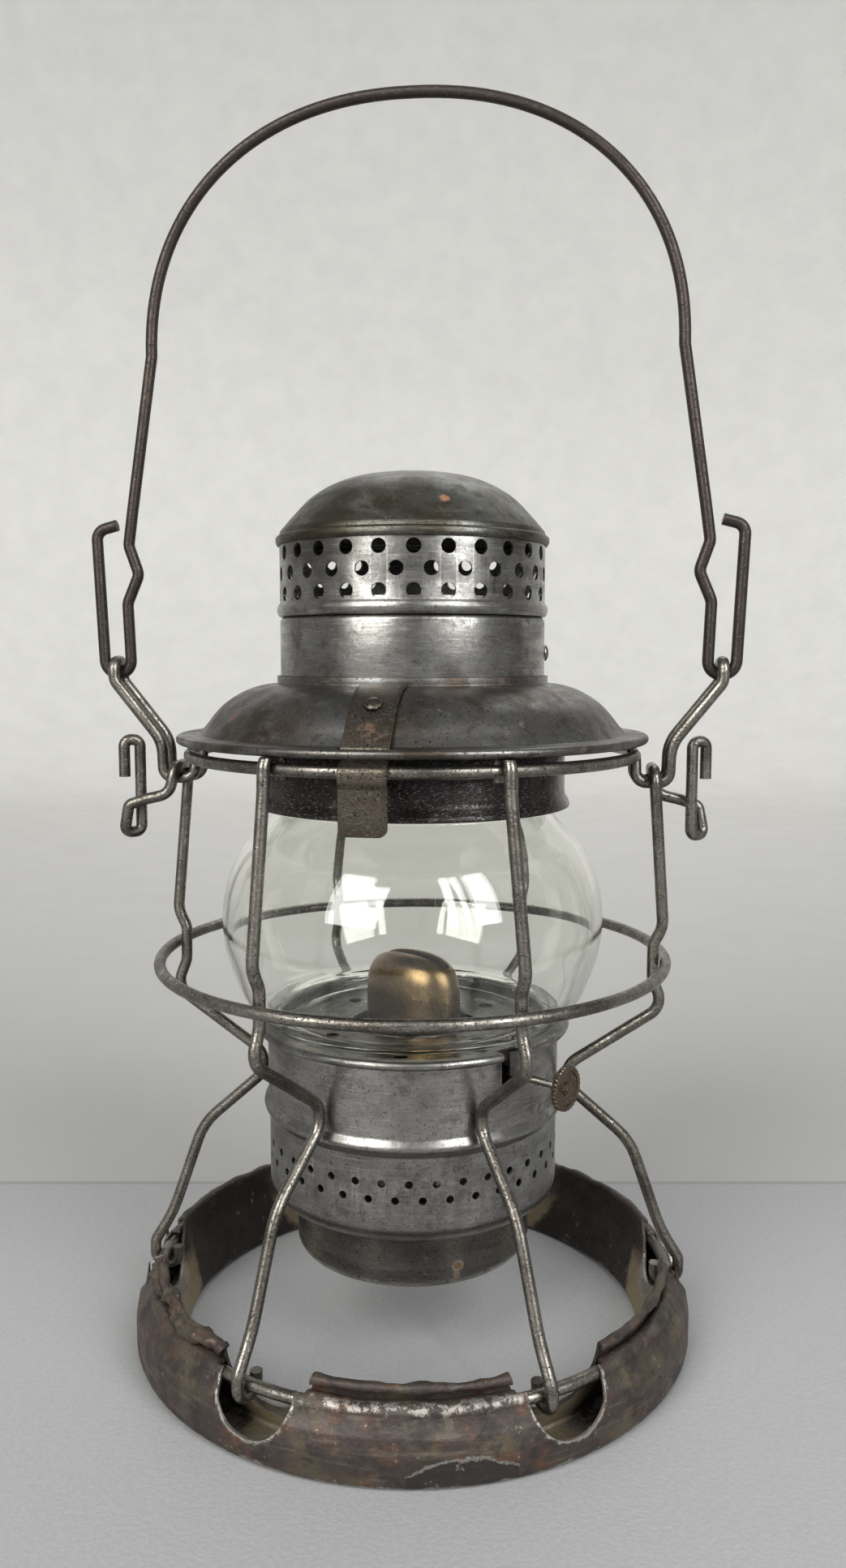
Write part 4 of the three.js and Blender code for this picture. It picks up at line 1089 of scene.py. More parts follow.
@dataclass
class BaseBand(Shared):
    """The pressed trough that the feet of the uprights stand in."""

    outer: float = 88.9
    inner: float = 72.3
    sheet: float = 0.9
    flare: float = 14.0
    flap_height: float = 24.6
    gap_radius: float = 15.5
    gap_depth: float = 13.8
    hem: float = 1.0
    dents: float = 2.2
    crushed: tuple[float, float] = (-77.0, -35.0)

    @property
    def flap_face(self) -> float:
        """The radius of the flaps where they stand beside the ring."""
        return self.base_radius - self.wire / 2 - 2 * GAP

    def line(self) -> list[Pair]:
        """The middle of the sheet, from the crimp over the ring to the top of the flaps."""
        half = self.sheet / 2
        crimp = self.wire / 2 + 0.2 + half
        inner_top = self.flap_face - half
        return [
            *arc((self.base_radius, self.base_height), crimp, 125, 5, 12),
            *rounded([
                (self.base_radius + crimp, self.base_height - 0.3),
                (self.outer - half - 0.9, self.flare),
                (self.outer - half, 9.0),
                (self.outer - half, 1.6),
                (self.outer - 1.6, half),
                (self.inner + 1.6, half),
                (self.inner + half, 1.6),
                (inner_top - 0.9, self.flare),
                (inner_top, self.base_height),
                (inner_top, self.flap_height - self.hem),
            ], 2.0, 5),
            *arc((inner_top + self.hem, self.flap_height - self.hem), self.hem, 180, -35, 9)[1:],
        ]

    def dent(self, item: Piece, depth: float, low: float, grain: float) -> None:
        """Knocks a piece about with soft random dents, more so towards its top.

        Args:
            item: The piece.
            depth: The deepest dent.
            low: The height at which the dents begin.
            grain: The size of a dent.
        """
        lumps = bpy.data.textures.new(item.name + "_lumps", type="CLOUDS")
        lumps.noise_scale = grain * MM
        lumps.noise_depth = 2
        group = item.vertex_groups.new(name="dented")
        for vertex in item.data.vertices:
            share = (vertex.co.z / MM - low) / (self.flap_height - low)
            group.add([vertex.index], min(max(share, 0.0), 1.0), "REPLACE")
        Bench.apply(item, "DISPLACE", texture=lumps, texture_coords="LOCAL", strength=depth * MM,
                    mid_level=0.5, vertex_group=group.name)
        item.vertex_groups.clear()

    def horn(self, azimuth: float, radius: float, foot: float, tip: float, width: float) -> Piece:
        """A corner of the sheet that stands up beside a side notch.

        Args:
            azimuth: Where it stands.
            radius: How far out it stands.
            foot: The height of its foot.
            tip: The height of its tip.
            width: Its width at the foot.

        Returns:
            The horn.
        """
        Bench.only()
        middle = (0, -radius * MM, (tip + foot) / 2 * MM)
        bpy.ops.mesh.primitive_cone_add(vertices=20, radius1=width / 2 * MM, radius2=0.5 * MM,
                                        depth=(tip - foot) * MM, location=middle)
        horn = bpy.context.object
        horn.name = "horn"
        horn.scale = (1, 2.6 / width, 1)
        horn.rotation_euler = (math.radians(-4), 0, 0)
        Bench.settle(horn)
        Bench.bevel(horn, 0.4, 3)
        return Bench.turn(horn, azimuth)

    def crush(self) -> Piece:
        """The crumpled hem between the left and the front notch."""
        inner_top = self.flap_face - self.sheet / 2
        start, stop = self.crushed
        route = [at(start + (stop - start) * i / 60, inner_top + 1.5 + 1.1 * math.sin(i / 5.5),
                    self.flap_height - 2.2 + 1.0 * math.sin(i / 3.7)) for i in range(61)]
        roll = Bench.wire("crushed_hem", route, 4.2)
        self.dent(roll, 4.6, 0.0, 3.6)
        return Bench.shade(roll)

    def build(self) -> None:
        """Spins the trough, dents it, and cuts its notches and the gaps between its flaps."""
        band = Bench.spun("base_trough", self.line(), 240)
        self.dent(band, self.dents, 11.0, 8.0)
        Bench.thicken(band, self.sheet)
        inner_top = self.flap_face + self.sheet / 2
        for i in range(NOTCHES.count):
            azimuth = (i + 0.5) * 360 / NOTCHES.count + NOTCHES.turn
            notch = Bench.bar("notch", NOTCHES.radius, (0, -inner_top, NOTCHES.height),
                              (0, -self.outer - PAST, NOTCHES.height), 64)
            level = self.flap_height - self.gap_depth + self.gap_radius
            gap = Bench.bar("gap", self.gap_radius, (0, -self.inner, level),
                            (0, -self.base_radius, level), 64)
            Bench.cut(band, Bench.turn(notch, azimuth))
            Bench.cut(band, Bench.turn(gap, azimuth))
        Bench.soften(band, 0.2)
        horns = [self.horn(azimuth, radius, foot, tip, width) for azimuth, radius, foot, tip, width in (
            (86.0, 85.2, 11.0, 23.0, 6.0), (106.0, 85.4, 11.0, 21.5, 6.0), (84.0, 79.8, 16.0, 27.0, 6.5),
            (-75.0, 85.2, 11.0, 24.0, 6.5), (-94.0, 85.4, 11.0, 21.5, 6.0), (-72.5, 80.2, 16.0, 28.0, 6.0),
        )]
        band = Bench.join([self.crush(), *horns, band])
        Bench.hand_over(band, "base_band", "frame", BASE_PAINT)


@dataclass
class Burner:
    """The burner: gallery, deck, wick tube, hood, wick, shaft and thumb wheel."""

    azimuth: float = 56.5
    sheet: float = 0.8
    skirt: float = 11.1
    skirt_bottom: float = 69.0
    gallery: float = 19.8
    gallery_floor: float = 76.7
    gallery_top: float = 86.0
    deck: float = 1.0
    wick_width: float = 16.4
    wick_thickness: float = 2.6
    wick_bottom: float = 34.0
    wick_top: float = 115.0
    tube_wall: float = 1.0
    tube_bottom: float = 64.0
    tube_top: float = 113.0
    shaft_height: float = 91.5
    shaft_radius: float = 1.1
    lug_wall: float = 0.9
    lug_inset: float = 2.6
    lug_half: float = 0.6
    sprocket: float = 2.4
    wheel_radius: float = 6.65
    wheel_thickness: float = 1.6
    wheel_distance: float = 61.0
    knurls: int = 30
    hood_width: float = 17.5
    hood_thickness: float = 10.0
    hood_spring: float = 105.0
    hood_top: float = 121.3
    hood_squareness: float = 0.62

    @property
    def offset(self) -> float:
        """How far the shaft runs beside the wick."""
        return self.wick_thickness / 2 + GAP + self.sprocket

    @property
    def tube_half_width(self) -> float:
        """Half the width of the tube."""
        return self.wick_width / 2 + GAP + self.tube_wall

    @property
    def tube_half_thickness(self) -> float:
        """Half the thickness of the tube."""
        return self.wick_thickness / 2 + GAP + self.tube_wall

    def spot(self, distance: float) -> Place:
        """A point on the line of the shaft, at this distance towards the wheel."""
        return -self.offset, -distance, self.shaft_height

    def placed(self, item: Piece) -> Piece:
        """Turns a piece from the front to the burner's own azimuth."""
        return Bench.turn(item, self.azimuth)

    def body(self) -> None:
        """The skirt and air gallery, and the deck over it."""
        wall = self.gallery - self.sheet / 2
        line = rounded([(self.skirt, self.skirt_bottom), (self.skirt, self.gallery_floor),
                        (wall, self.gallery_floor), (wall, self.gallery_top)], 1.2)
        base = Bench.sheet("burner_gallery", line, self.sheet, 96)
        level = (self.gallery_floor + self.gallery_top) / 2
        hole = Bench.drill("air_hole", 1.5, wall, level, 20)
        Bench.cut(base, Bench.round_copies(hole, 8))
        Bench.hand_over(Bench.soften(base), "burner_base", "fount", BURNER_BRASS)
        top = self.gallery_top + GAP + self.deck
        deck = Bench.bar("deck_plate", self.gallery, (0, 0, top - self.deck), (0, 0, top), 96)
        wide, thick = self.tube_half_width + GAP, self.tube_half_thickness + GAP
        hole = Bench.block("slot", (-thick, -wide, top - PAST), (thick, wide, top + PAST))
        Bench.cut(deck, hole)
        Bench.hand_over(self.placed(Bench.soften(deck)), "burner_deck", "fount", BURNER_BRASS)

    def tube(self) -> None:
        """The flat tube with its window and the two lugs that carry the shaft."""
        thick, wide = self.tube_half_thickness, self.tube_half_width
        body = Bench.block("tube_body", (-thick, -wide, self.tube_bottom),
                           (thick, wide, self.tube_top))
        Bench.bevel(body, 0.9, 4)
        half = self.shaft_radius + self.lug_wall
        for side in (-1, 1):
            y = side * (wide - self.lug_inset)
            lug = Bench.block("lug", (-self.offset - half, y - self.lug_half, self.shaft_height - half),
                              (-thick + 0.5, y + self.lug_half, self.shaft_height + half))
            Bench.fuse(body, lug)
        bore = Bench.block("bore", (-thick + self.tube_wall, -wide + self.tube_wall, self.tube_bottom - PAST),
                           (thick - self.tube_wall, wide - self.tube_wall, self.tube_top + PAST))
        Bench.cut(body, bore)
        gap = self.sprocket + 2 * GAP
        window = Bench.block("window", (-4, -5.2, self.shaft_height - gap),
                             (0, 5.2, self.shaft_height + gap))
        Bench.cut(body, window)
        Bench.cut(body, Bench.bar("bearing", self.shaft_radius + GAP, self.spot(wide), self.spot(-wide)))
        Bench.hand_over(self.placed(Bench.soften(body)), "wick_tube", "fount", BURNER_BRASS)

    def hood(self) -> None:
        """The oval dome with the slot for the flame along its crown."""
        bottom = self.gallery_top + GAP + self.deck + GAP
        half = self.sheet / 2
        width = self.hood_width - half
        rise = self.hood_top - self.hood_spring - half
        square = self.hood_squareness
        crown = [(width * abs(x) ** square if x > 1e-6 else 0.0, self.hood_spring + rise * abs(z) ** square)
                 for x, z in arc((0, 0), 1, 0, 90, 22)]
        line = [(width + 1.2, bottom + 0.4), (width + 0.4, bottom + 0.5), (width, bottom + 1.4), *crown]
        hood = Bench.spun("hood_dome", line, 96)
        hood.scale = (self.hood_thickness / self.hood_width, 1, 1)
        Bench.settle(hood)
        Bench.apply(hood, "SOLIDIFY", thickness=self.sheet * MM, offset=0.0)
        slot = Bench.block("slot", (-2.3, -14, self.hood_spring + 5), (2.3, 14, self.hood_top + PAST))
        Bench.bevel(slot, 2.0, 6)
        Bench.cut(hood, slot)
        far = self.hood_width + PAST
        Bench.cut(hood, Bench.bar("hole", self.shaft_radius + 2 * GAP, self.spot(0), self.spot(far)))
        Bench.hand_over(self.placed(Bench.soften(hood)), "burner_hood", "fount", BURNER_BRASS)

    def wick(self) -> None:
        """The flat wick, its edges rounded and its top a little uneven."""
        wick = Bench.block("wick_strip", (-self.wick_thickness / 2, -self.wick_width / 2, self.wick_bottom),
                           (self.wick_thickness / 2, self.wick_width / 2, self.wick_top))
        Bench.bevel(wick, 0.8, 4)
        Bench.hand_over(self.placed(Bench.shade(wick, 40)), "wick", "wick", WICK_COTTON)

    def toothed(self, name: str, radius: float, depth: float, thickness: float, teeth: int,
                distance: float) -> Piece:
        """A disc with teeth, square to the shaft.

        Args:
            name: The name of the piece.
            radius: Its outer radius.
            depth: How deep the teeth are.
            thickness: Its thickness along the shaft.
            teeth: How many teeth it has.
            distance: How far its middle lies along the shaft.

        Returns:
            The disc.
        """
        half = thickness / 2
        disc = Bench.bar(name, radius, self.spot(distance - half), self.spot(distance + half), teeth * 4)
        mesh = disc.data
        centre = Vector(self.spot(0)) * MM
        bpy.ops.object.mode_set(mode="EDIT")
        bpy.ops.mesh.select_all(action="DESELECT")
        bpy.ops.object.mode_set(mode="OBJECT")
        for vertex in mesh.vertices:
            arm = vertex.co - centre
            turn = math.degrees(math.atan2(arm.z, arm.x)) / (360 / teeth)
            vertex.select = abs(turn - round(turn)) > 0.3
        bpy.ops.object.mode_set(mode="EDIT")
        bpy.ops.mesh.select_mode(type="VERT")
        share = (radius - depth) / radius
        bpy.ops.transform.resize(value=(share, 1, share), center_override=centre)
        bpy.ops.object.mode_set(mode="OBJECT")
        return disc

    def shaft(self) -> None:
        """The shaft with its two sprockets, and the knurled wheel on its end."""
        far = self.wheel_distance - self.wheel_thickness / 2 - GAP
        near = -self.tube_half_width - GAP
        bar = Bench.bar("shaft_bar", self.shaft_radius, self.spot(near), self.spot(far), 28)
        for side in (-1, 1):
            Bench.fuse(bar, self.toothed("sprocket", self.sprocket, 1.0, 1.4, 8, side * 3.0))
        Bench.hand_over(self.placed(Bench.soften(bar, 0.1)), "wick_shaft", "knob", WIRE)
        wheel = self.toothed("wheel_disc", self.wheel_radius, 0.4, self.wheel_thickness, self.knurls,
                             self.wheel_distance)
        face = self.wheel_distance + self.wheel_thickness / 2
        dish = Bench.bar("dish", self.wheel_radius - 1.5, self.spot(face - 0.45), self.spot(face + PAST), 48)
        Bench.cut(wheel, dish)
        Bench.fuse(wheel, Bench.bar("hub", 2.0, self.spot(face - 0.9), self.spot(face + 0.1), 32))
        Bench.fuse(wheel, Bench.bar("boss", 1.2, self.spot(face - 0.9), self.spot(face + 0.5), 24))
        Bench.hand_over(self.placed(Bench.soften(wheel, 0.12)), "thumb_wheel", "knob", WHEEL_STEEL)

    def build(self) -> None:
        """Makes every piece of the burner."""
        self.body()
        self.tube()
        self.hood()
        self.wick()
        self.shaft()


@dataclass
class PotAndFount:
    """The pot, the plate on it, the globe and the fount in it."""

    burner: Burner
    radius: float = 46.3
    top: float = 100.4
    bead_height: float = 74.9
    bead: float = 1.4
    floor: float = 45.0
    mouth: float = 38.1
    shoulder: float = 5.2
    sheet: float = 0.8
    vents: int = 36
    vent_radius: float = 1.2
    vent_heights: tuple[float, ...] = (64.1, 59.2)
    slot_half: float = 1.6
    slot_turn: float = 9.0
    slot_half_turn: float = 2.0
    plate_rim: float = 49.9
    plate_floor: float = 97.2
    plate_hole: float = 20.4
    glass: float = 2.4
    globe_radius: float = 59.9
    collar_radius: float = 43.4
    globe_height: float = 79.6
    fount_radius: float = 37.4
    fount_bottom: float = 27.3
    fount_top: float = 70.5
    neck_radius: float = 12.6
    neck_top: float = 76.0
    globe_shares: tuple[Pair, ...] = (
        (0, 0), (0.005, 0.03), (0.06, 0.062), (0.34, 0.085), (0.62, 0.15), (0.82, 0.25), (0.955, 0.345),
        (1, 0.43), (0.97, 0.53), (0.84, 0.63), (0.6, 0.725), (0.24, 0.805), (0.04, 0.86), (0, 0.9), (0, 1),
    )

    def slot_azimuth(self, radius: float) -> float:
        """The azimuth at which the shaft passes a wall of this radius."""
        return self.burner.azimuth - math.degrees(math.asin(self.burner.offset / radius))

    def sector(self, start: float, stop: float, low: float, high: float, reach: float) -> Piece:
        """A cutter that takes a stretch out of a wall between two azimuths."""
        middle, half = (start + stop) / 2, (stop - start) / 2
        wide = reach * math.sin(math.radians(half))
        block = Bench.block("stretch", (-wide, -reach - 8, low), (wide, -reach + 4, high))
        return Bench.turn(block, middle)

    def pot(self) -> None:
        """The cup with its bead, its air holes and the L slot."""
        half = self.sheet / 2
        wall = self.radius - half
        skirt = wall - GAP
        bead = [(wall, self.bead_height + 3.0), (wall + 0.3, self.bead_height + 1.9),
                (wall + self.bead * 0.85, self.bead_height + 0.8), (wall + self.bead, self.bead_height),
                (wall + self.bead * 0.85, self.bead_height - 0.8), (wall + 0.1, self.bead_height - 1.9),
                (skirt, self.bead_height - 3.2)]
        line = [
            (wall, self.top), (wall, self.top - 6), *bead,
            *arc((skirt - self.shoulder, self.floor + half + self.shoulder), self.shoulder, 0, -90, 10),
            (self.mouth + 1.2, self.floor + half),
            (self.mouth + 0.5, self.floor + half - 0.1),
        ]
        pot = Bench.sheet("pot_cup", line, self.sheet, 216)
        for row, height in enumerate(self.vent_heights):
            hole = Bench.drill("vent", self.vent_radius, skirt, height, 14)
            phase = (row + 1) / 2 * 360 / self.vents
            Bench.cut(pot, Bench.round_copies(hole, self.vents, phase))
        end = self.slot_azimuth(wall)
        leg, half_turn = end - self.slot_turn, self.slot_half_turn
        low, high = self.burner.shaft_height - self.slot_half, self.burner.shaft_height + self.slot_half
        Bench.cut(pot, self.sector(leg - half_turn, end + half_turn, low, high, wall))
        Bench.cut(pot, self.sector(leg - half_turn, leg + half_turn, low + 0.2, self.top + PAST, wall))
        Bench.hand_over(Bench.soften(pot, 0.12), "pot", "frame", POT_SHEET)

    def plate(self) -> None:
        """The dished plate with its rolled rim, its hole and its air holes."""
        half = self.sheet / 2
        top = self.top + GAP + half
        dish = self.radius - self.sheet - GAP - half
        floor = self.plate_floor + half
        rim = self.plate_rim - half
        line = [
            *arc((rim - 0.9, top - 0.9), 0.9, -80, 90, 10),
            *rounded([(rim - 1.2, top), (dish, top), (dish, floor), (self.plate_hole + 1.2, floor),
                      (self.plate_hole + half, floor + 1.0)], 0.8),
        ]
        plate = Bench.sheet("globe_seat", line, self.sheet, 180)
        vent = Bench.bar("vent", 2.2, (0, -32, floor - PAST), (0, -32, floor + PAST), 24)
        Bench.cut(plate, Bench.round_copies(vent, 8))
        leg = self.slot_azimuth(self.radius) - self.slot_turn
        reach = self.radius - self.sheet + 4
        Bench.cut(plate, self.sector(leg - 4, leg + 4, self.top - 2, self.top + 4, reach))
        Bench.hand_over(Bench.soften(plate, 0.12), "globe_plate", "frame", BARE_SHEET)

    def globe(self) -> None:
        """The glass globe, a soft curve between two plain collars."""
        bottom = self.plate_floor + self.sheet + GAP
        collar = self.collar_radius - self.glass / 2
        bulge = self.globe_radius - self.glass / 2 - collar
        shape = [(collar + bulge * x, bottom + self.globe_height * z) for x, z in self.globe_shares]
        globe = Bench.sheet("globe_glass", smooth(shape, 5), self.glass, 160)
        Bench.bevel(globe, 0.7, 4, angle_limit=math.radians(60))
        Bench.hand_over(Bench.shade(globe), "globe", "frame", CLEAR_GLASS)

    def fount(self) -> None:
        """The oil fount with its folded bead and its neck."""
        half = self.sheet / 2
        wall = self.fount_radius - half
        bottom = self.fount_bottom + half
        seat = self.floor + self.sheet + GAP + half
        bead = self.mouth + 1.6
        neck = self.neck_radius - half
        line = [
            (0, bottom + 0.8), (wall - 7, bottom + 0.8), (wall - 6, bottom),
            *arc((wall - 3, bottom + 3), 3, -90, 0, 8),
            (wall, seat - 0.8),
            *arc((bead - 0.4, seat + 0.8), 0.8, -90, 90, 8),
            (wall + 0.1, seat + 1.7), (wall, seat + 2.4),
            *arc((wall - 3, self.fount_top - 3), 3, 0, 90, 8),
            *rounded([(wall - 3.2, self.fount_top), (neck + 1.2, self.fount_top + 1.5),
                      (neck, self.fount_top + 3), (neck, self.neck_top)], 1.2),
        ]
        fount = Bench.sheet("oil_fount", line, self.sheet, 128)
        Bench.hand_over(Bench.soften(fount, 0.12), "fount", "fount", FOUNT_SHEET)

    def build(self) -> None:
        """Makes the pot, the plate, the globe and the fount."""
        self.pot()
        self.plate()
        self.globe()
        self.fount()


@dataclass
class Lid(Shared):
    """The lid: chimney, dome, brim, retainer, hinge leaf and latch strap."""

    neck: float = 40.9
    neck_bottom: float = 200.0
    band_bottom: float = 227.8
    bead_reach: float = 0.9
    bead_height: float = 3.8
    band_top: float = 250.6
    dome_top: float = 271.2
    dome_spring: float = 252.6
    holes: int = 26
    hole_radius: float = 2.15
    hole_rows: tuple[float, ...] = (234.1, 240.2, 246.3)
    brim: float = 73.0
    brim_flat: float = 65.8
    brim_seat: float = 189.3
    brim_rise: float = 1.5
    brim_roll: float = 0.9
    brim_slot: Pair = (66.4, 71.1)
    shoulder: float = 207.0
    retainer: float = 47.6
    lip: float = 49.2
    retainer_bottom: float = 169.6
    seat_mouth: float = 37.0
    seat_wall: float = 5.0
    globe_top: float = 177.9
    latch_azimuth: float = -4.0
    latch_width: float = 13.2
    latch_tip: float = 169.0
    latch_slot: float = 68.45
    rivet_reach: float = 56.8
    rivet_height: float = 216.6
    rivet_azimuth: float = 92.0
    leaf_width: float = 11.0
    bead_shares: tuple[Pair, ...] = ((0.3, 0), (0.75, 0.16), (0.97, 0.34), (1, 0.5), (0.9, 0.66),
                                     (0.55, 0.83), (0.15, 0.95), (0, 1.08))
    shoulder_shares: tuple[Pair, ...] = ((0.0, 1.0), (0.18, 0.965), (0.36, 0.89), (0.52, 0.77), (0.68, 0.6),
                                         (0.8, 0.41), (0.9, 0.21), (1.0, 0.03))
    crown_shares: tuple[Pair, ...] = ((0.0, 1.0), (0.28, 0.973), (0.534, 0.85), (0.745, 0.597), (0.89, 0.274),
                                      (0.95, 0.12), (0.985, 0.03))

    @property
    def half(self) -> float:
        """Half the thickness of the sheet."""
        return self.sheet / 2

    def brim_curve(self) -> list[Pair]:
        """The middle of the brim's sheet from its collar to where the rim starts to roll."""
        collar = self.neck + GAP + self.half
        flat = self.brim_seat + self.half + self.brim_rise
        fall, run = self.shoulder - flat, self.brim_flat - collar
        shoulder = smooth([(collar + run * x, flat + fall * z) for x, z in self.shoulder_shares], 4)
        return [(collar, self.shoulder + 2.6), (collar, self.shoulder + 1.1), *shoulder]

    def brim_at(self, radius: float, distance: float = 0.0) -> Pair:
        """A place over or under the brim.

        Args:
            radius: The place's radius.
            distance: How far it stands off the middle of the sheet.

        Returns:
            Its radius and height.
        """
        rim = self.brim - self.brim_roll - self.half
        line = [*self.brim_curve()[2:], (rim, self.brim_seat + self.half + 2 * self.brim_roll)]
        for (r0, z0), (r1, z1) in zip(line, line[1:]):
            if r0 <= radius <= r1:
                slope = (z1 - z0) / (r1 - r0)
                height = z0 + slope * (radius - r0)
                return radius, height + distance * math.sqrt(1 + slope * slope)
        return radius, line[-1][1] + distance

    def chimney(self) -> None:
        """The neck, its rivet, the vent band and the dome."""
        wall = self.neck - self.half
        sleeve = wall - self.sheet - GAP
        line = rounded([(wall, self.neck_bottom), (wall, self.band_bottom - 1.6), (sleeve, self.band_bottom),
                        (sleeve, self.band_bottom + 5)], 1.0)
        neck = Bench.sheet("neck_tube", line, self.sheet, 160)
        hole = Bench.drill("hole", 1.5, wall, self.rivet_height, 20)
        Bench.cut(neck, Bench.turn(hole, self.rivet_azimuth))
        Bench.hand_over(Bench.soften(neck), "chimney_neck", "lid", BARE_SHEET)
        head = Bench.tipped(self.rivet("neck_rivet_head", 2.5, 1.2, 1.2, 1.1), math.radians(90))
        Bench.moved(head, (0, -(self.neck + 0.15), self.rivet_height))
        Bench.hand_over(Bench.turn(head, self.rivet_azimuth), "neck_rivet", "lid", BARE_SHEET)
        low = self.band_bottom
        line = [*[(wall + self.bead_reach * x, low + self.bead_height * z) for x, z in self.bead_shares],
                (wall, self.band_top)]
        band = Bench.sheet("vent_wall", line, self.sheet, 208)
        for row, height in enumerate(self.hole_rows):
            hole = Bench.drill("hole", self.hole_radius, wall, height, 24)
            Bench.cut(band, Bench.round_copies(hole, self.holes, ((row + 1) % 2) / 2 * 360 / self.holes))
        Bench.hand_over(Bench.soften(band, 0.12), "vent_band", "lid", BARE_SHEET)
        skirt, reach = self.neck + GAP + self.half, self.neck
        rise = self.dome_top - self.half - self.dome_spring
        crown = smooth([(reach * x, self.dome_spring + rise * z) for x, z in self.crown_shares], 5)
        foot = rounded([(reach - 0.35, self.dome_spring - 0.3), (reach - 0.2, self.dome_spring - 0.9),
                        (skirt + 0.1, self.band_top + 0.7), (skirt + 0.1, self.band_top - 0.5),
                        (skirt - 0.3, self.band_top - 1.4)], 0.6)
        dome = Bench.sheet("dome_shell", [*crown, *foot], self.sheet, 160)
        Bench.hand_over(Bench.soften(dome), "dome_cap", "lid", DOME_SHEET)

    def rivet(self, name: str, reach: float, rise: float, shank: float, depth: float) -> Piece:
        """A rivet at the origin with its round head up.

        Args:
            name: The name of the piece.
            reach: The radius of the head.
            rise: The height of the head.
            shank: The radius of the shank.
            depth: How far the shank goes down.

        Returns:
            The rivet.
        """
        line = [*[(reach * x, rise * z) for x, z in arc((0, 0), 1, 90, 0, 7)], (reach, -0.02), (shank, -0.02),
                (shank, -depth), (0, -depth)]
        return Bench.shade(Bench.spun(name, line, 40), 40)

    def brim_plate(self) -> None:
        """The brim with its domed shoulder, rolled rim and the slot for the strap."""
        rim = self.brim - self.brim_roll - self.half
        middle = self.brim_seat + self.half + self.brim_roll
        line = [*self.brim_curve(), *arc((rim, middle), self.brim_roll, 90, -120, 10)]
        plate = Bench.sheet("brim_plate", line, self.sheet, 192)
        half = self.latch_width / 2 + 2 * GAP
        near, far = self.brim_slot
        slot = Bench.block("slot", (-half, -far, self.brim_seat - PAST), (half, -near, self.shoulder))
        Bench.cut(plate, Bench.turn(slot, self.latch_azimuth))
        _, height = self.brim_at(self.rivet_reach)
        hole = Bench.bar("hole", 2.4, (0, -self.rivet_reach - 2, height - PAST),
                         (0, -self.rivet_reach + 2, height + PAST))
        Bench.cut(plate, Bench.turn(hole, self.latch_azimuth))
        Bench.hand_over(Bench.soften(plate), "lid_brim", "lid", BRIM_SHEET)

    def sleeve(self) -> None:
        """The globe retainer and the seat ring inside it."""
        wall = self.retainer - self.half
        top = self.brim_at(self.retainer)[1] - self.sheet - GAP
        lip = self.lip - self.half
        low = self.retainer_bottom
        line = [(wall, top), (wall, low + 5), (wall + 0.3, low + 3.2), (lip - 0.3, low + 1.6),
                (lip, low + 0.6), (lip, low)]
        sleeve = Bench.sheet("retainer_sleeve", line, self.sheet, 160)
        Bench.hand_over(Bench.soften(sleeve), "globe_retainer", "lid", DARK_SHEET)
        height = self.globe_top + GAP + self.half
        inner = wall - self.sheet - GAP
        line = rounded([(self.seat_mouth, height), (inner, height), (inner, height + self.seat_wall)], 1.2)
        seat = Bench.sheet("seat_ring", line, self.sheet, 128)
        Bench.hand_over(Bench.soften(seat), "retainer_seat", "lid", DARK_SHEET)

    def hinge_leaf(self) -> None:
        """The leaf under the brim at the rear, curled round the top ring."""
        curl = self.wire / 2 + 2 * GAP + self.half

        def under(y: float) -> Pair:
            """A place under the brim, clear of its lower sides."""
            return y, self.brim_at(math.hypot(y, self.leaf_width / 2), -self.sheet - GAP)[1]

        line = [under(61.4), under(63.2), under(self.brim_flat - 0.8),
                *arc((self.ring_radius, self.ring_height), curl, 155, 430, 26)]
        leaf = Bench.turn(Bench.strip("hinge_curl", line, self.leaf_width, self.sheet), 180)
        Bench.hand_over(Bench.soften(leaf), "lid_hinge_leaf", "lid", BRIM_SHEET)

    def strap(self) -> None:
        """The latch strap with its round tip, and its rivet."""
        face = self.ring_radius + self.wire / 2 + GAP + self.half
        upper = face + 0.7
        stand = self.sheet + GAP
        step = self.ring_height - 3.4
        over = [self.brim_at(radius, stand) for radius in (42.8, 46.5, 50, 53.5, 57, 60, 62.4)]
        hang = rounded([over[-1], (self.latch_slot, self.brim_seat + self.sheet + self.brim_rise),
                        (self.latch_slot, self.brim_seat), (upper, self.ring_height + 0.9),
                        (upper, step + 0.7), (face, step - 0.7), (face, self.latch_tip + 6),
                        (face, self.latch_tip)], 1.6)
        strap = Bench.strip("strap_leaf", [*over, *hang[1:]], self.latch_width, self.sheet, 8)
        half = self.latch_width / 2
        kept = Bench.block("kept", (-half - 0.02, -face - 12, self.latch_tip),
                           (half + 0.02, -face + 12, self.latch_tip + 20))
        Bench.bevel(kept, 2.6, 8)
        ends = Bench.block("ends", (-half - 2, -face - 4, self.latch_tip - 2),
                           (half + 2, -face + 4, self.latch_tip + half))
        Bench.cut(ends, kept)
        Bench.cut(strap, ends)
        reach, height = self.brim_at(self.rivet_reach)
        hole = Bench.bar("hole", 1.5, (0, -reach - 2.6, height + PAST), (0, -reach + 1.6, height - 3))
        Bench.cut(strap, hole)
        Bench.turn(Bench.soften(strap), self.latch_azimuth)
        Bench.hand_over(strap, "latch_strap", "latch", STRAP_STEEL)
        (r0, z0), (r1, z1) = self.brim_at(reach - 0.8), self.brim_at(reach + 0.8)
        lean = math.atan2(z0 - z1, r1 - r0)
        head = Bench.moved(self.rivet("strap_rivet", 2.6, 1.1, 1.2, 2.2), (0, 0, 1.8))
        Bench.moved(Bench.tipped(head, lean), (0, -reach, height))
        Bench.hand_over(Bench.turn(head, self.latch_azimuth), "latch_rivet", "latch", STRAP_STEEL)

    def build(self) -> None:
        """Makes every piece of the lid."""
        self.chimney()
        self.brim_plate()
        self.sleeve()
        self.hinge_leaf()
        self.strap()


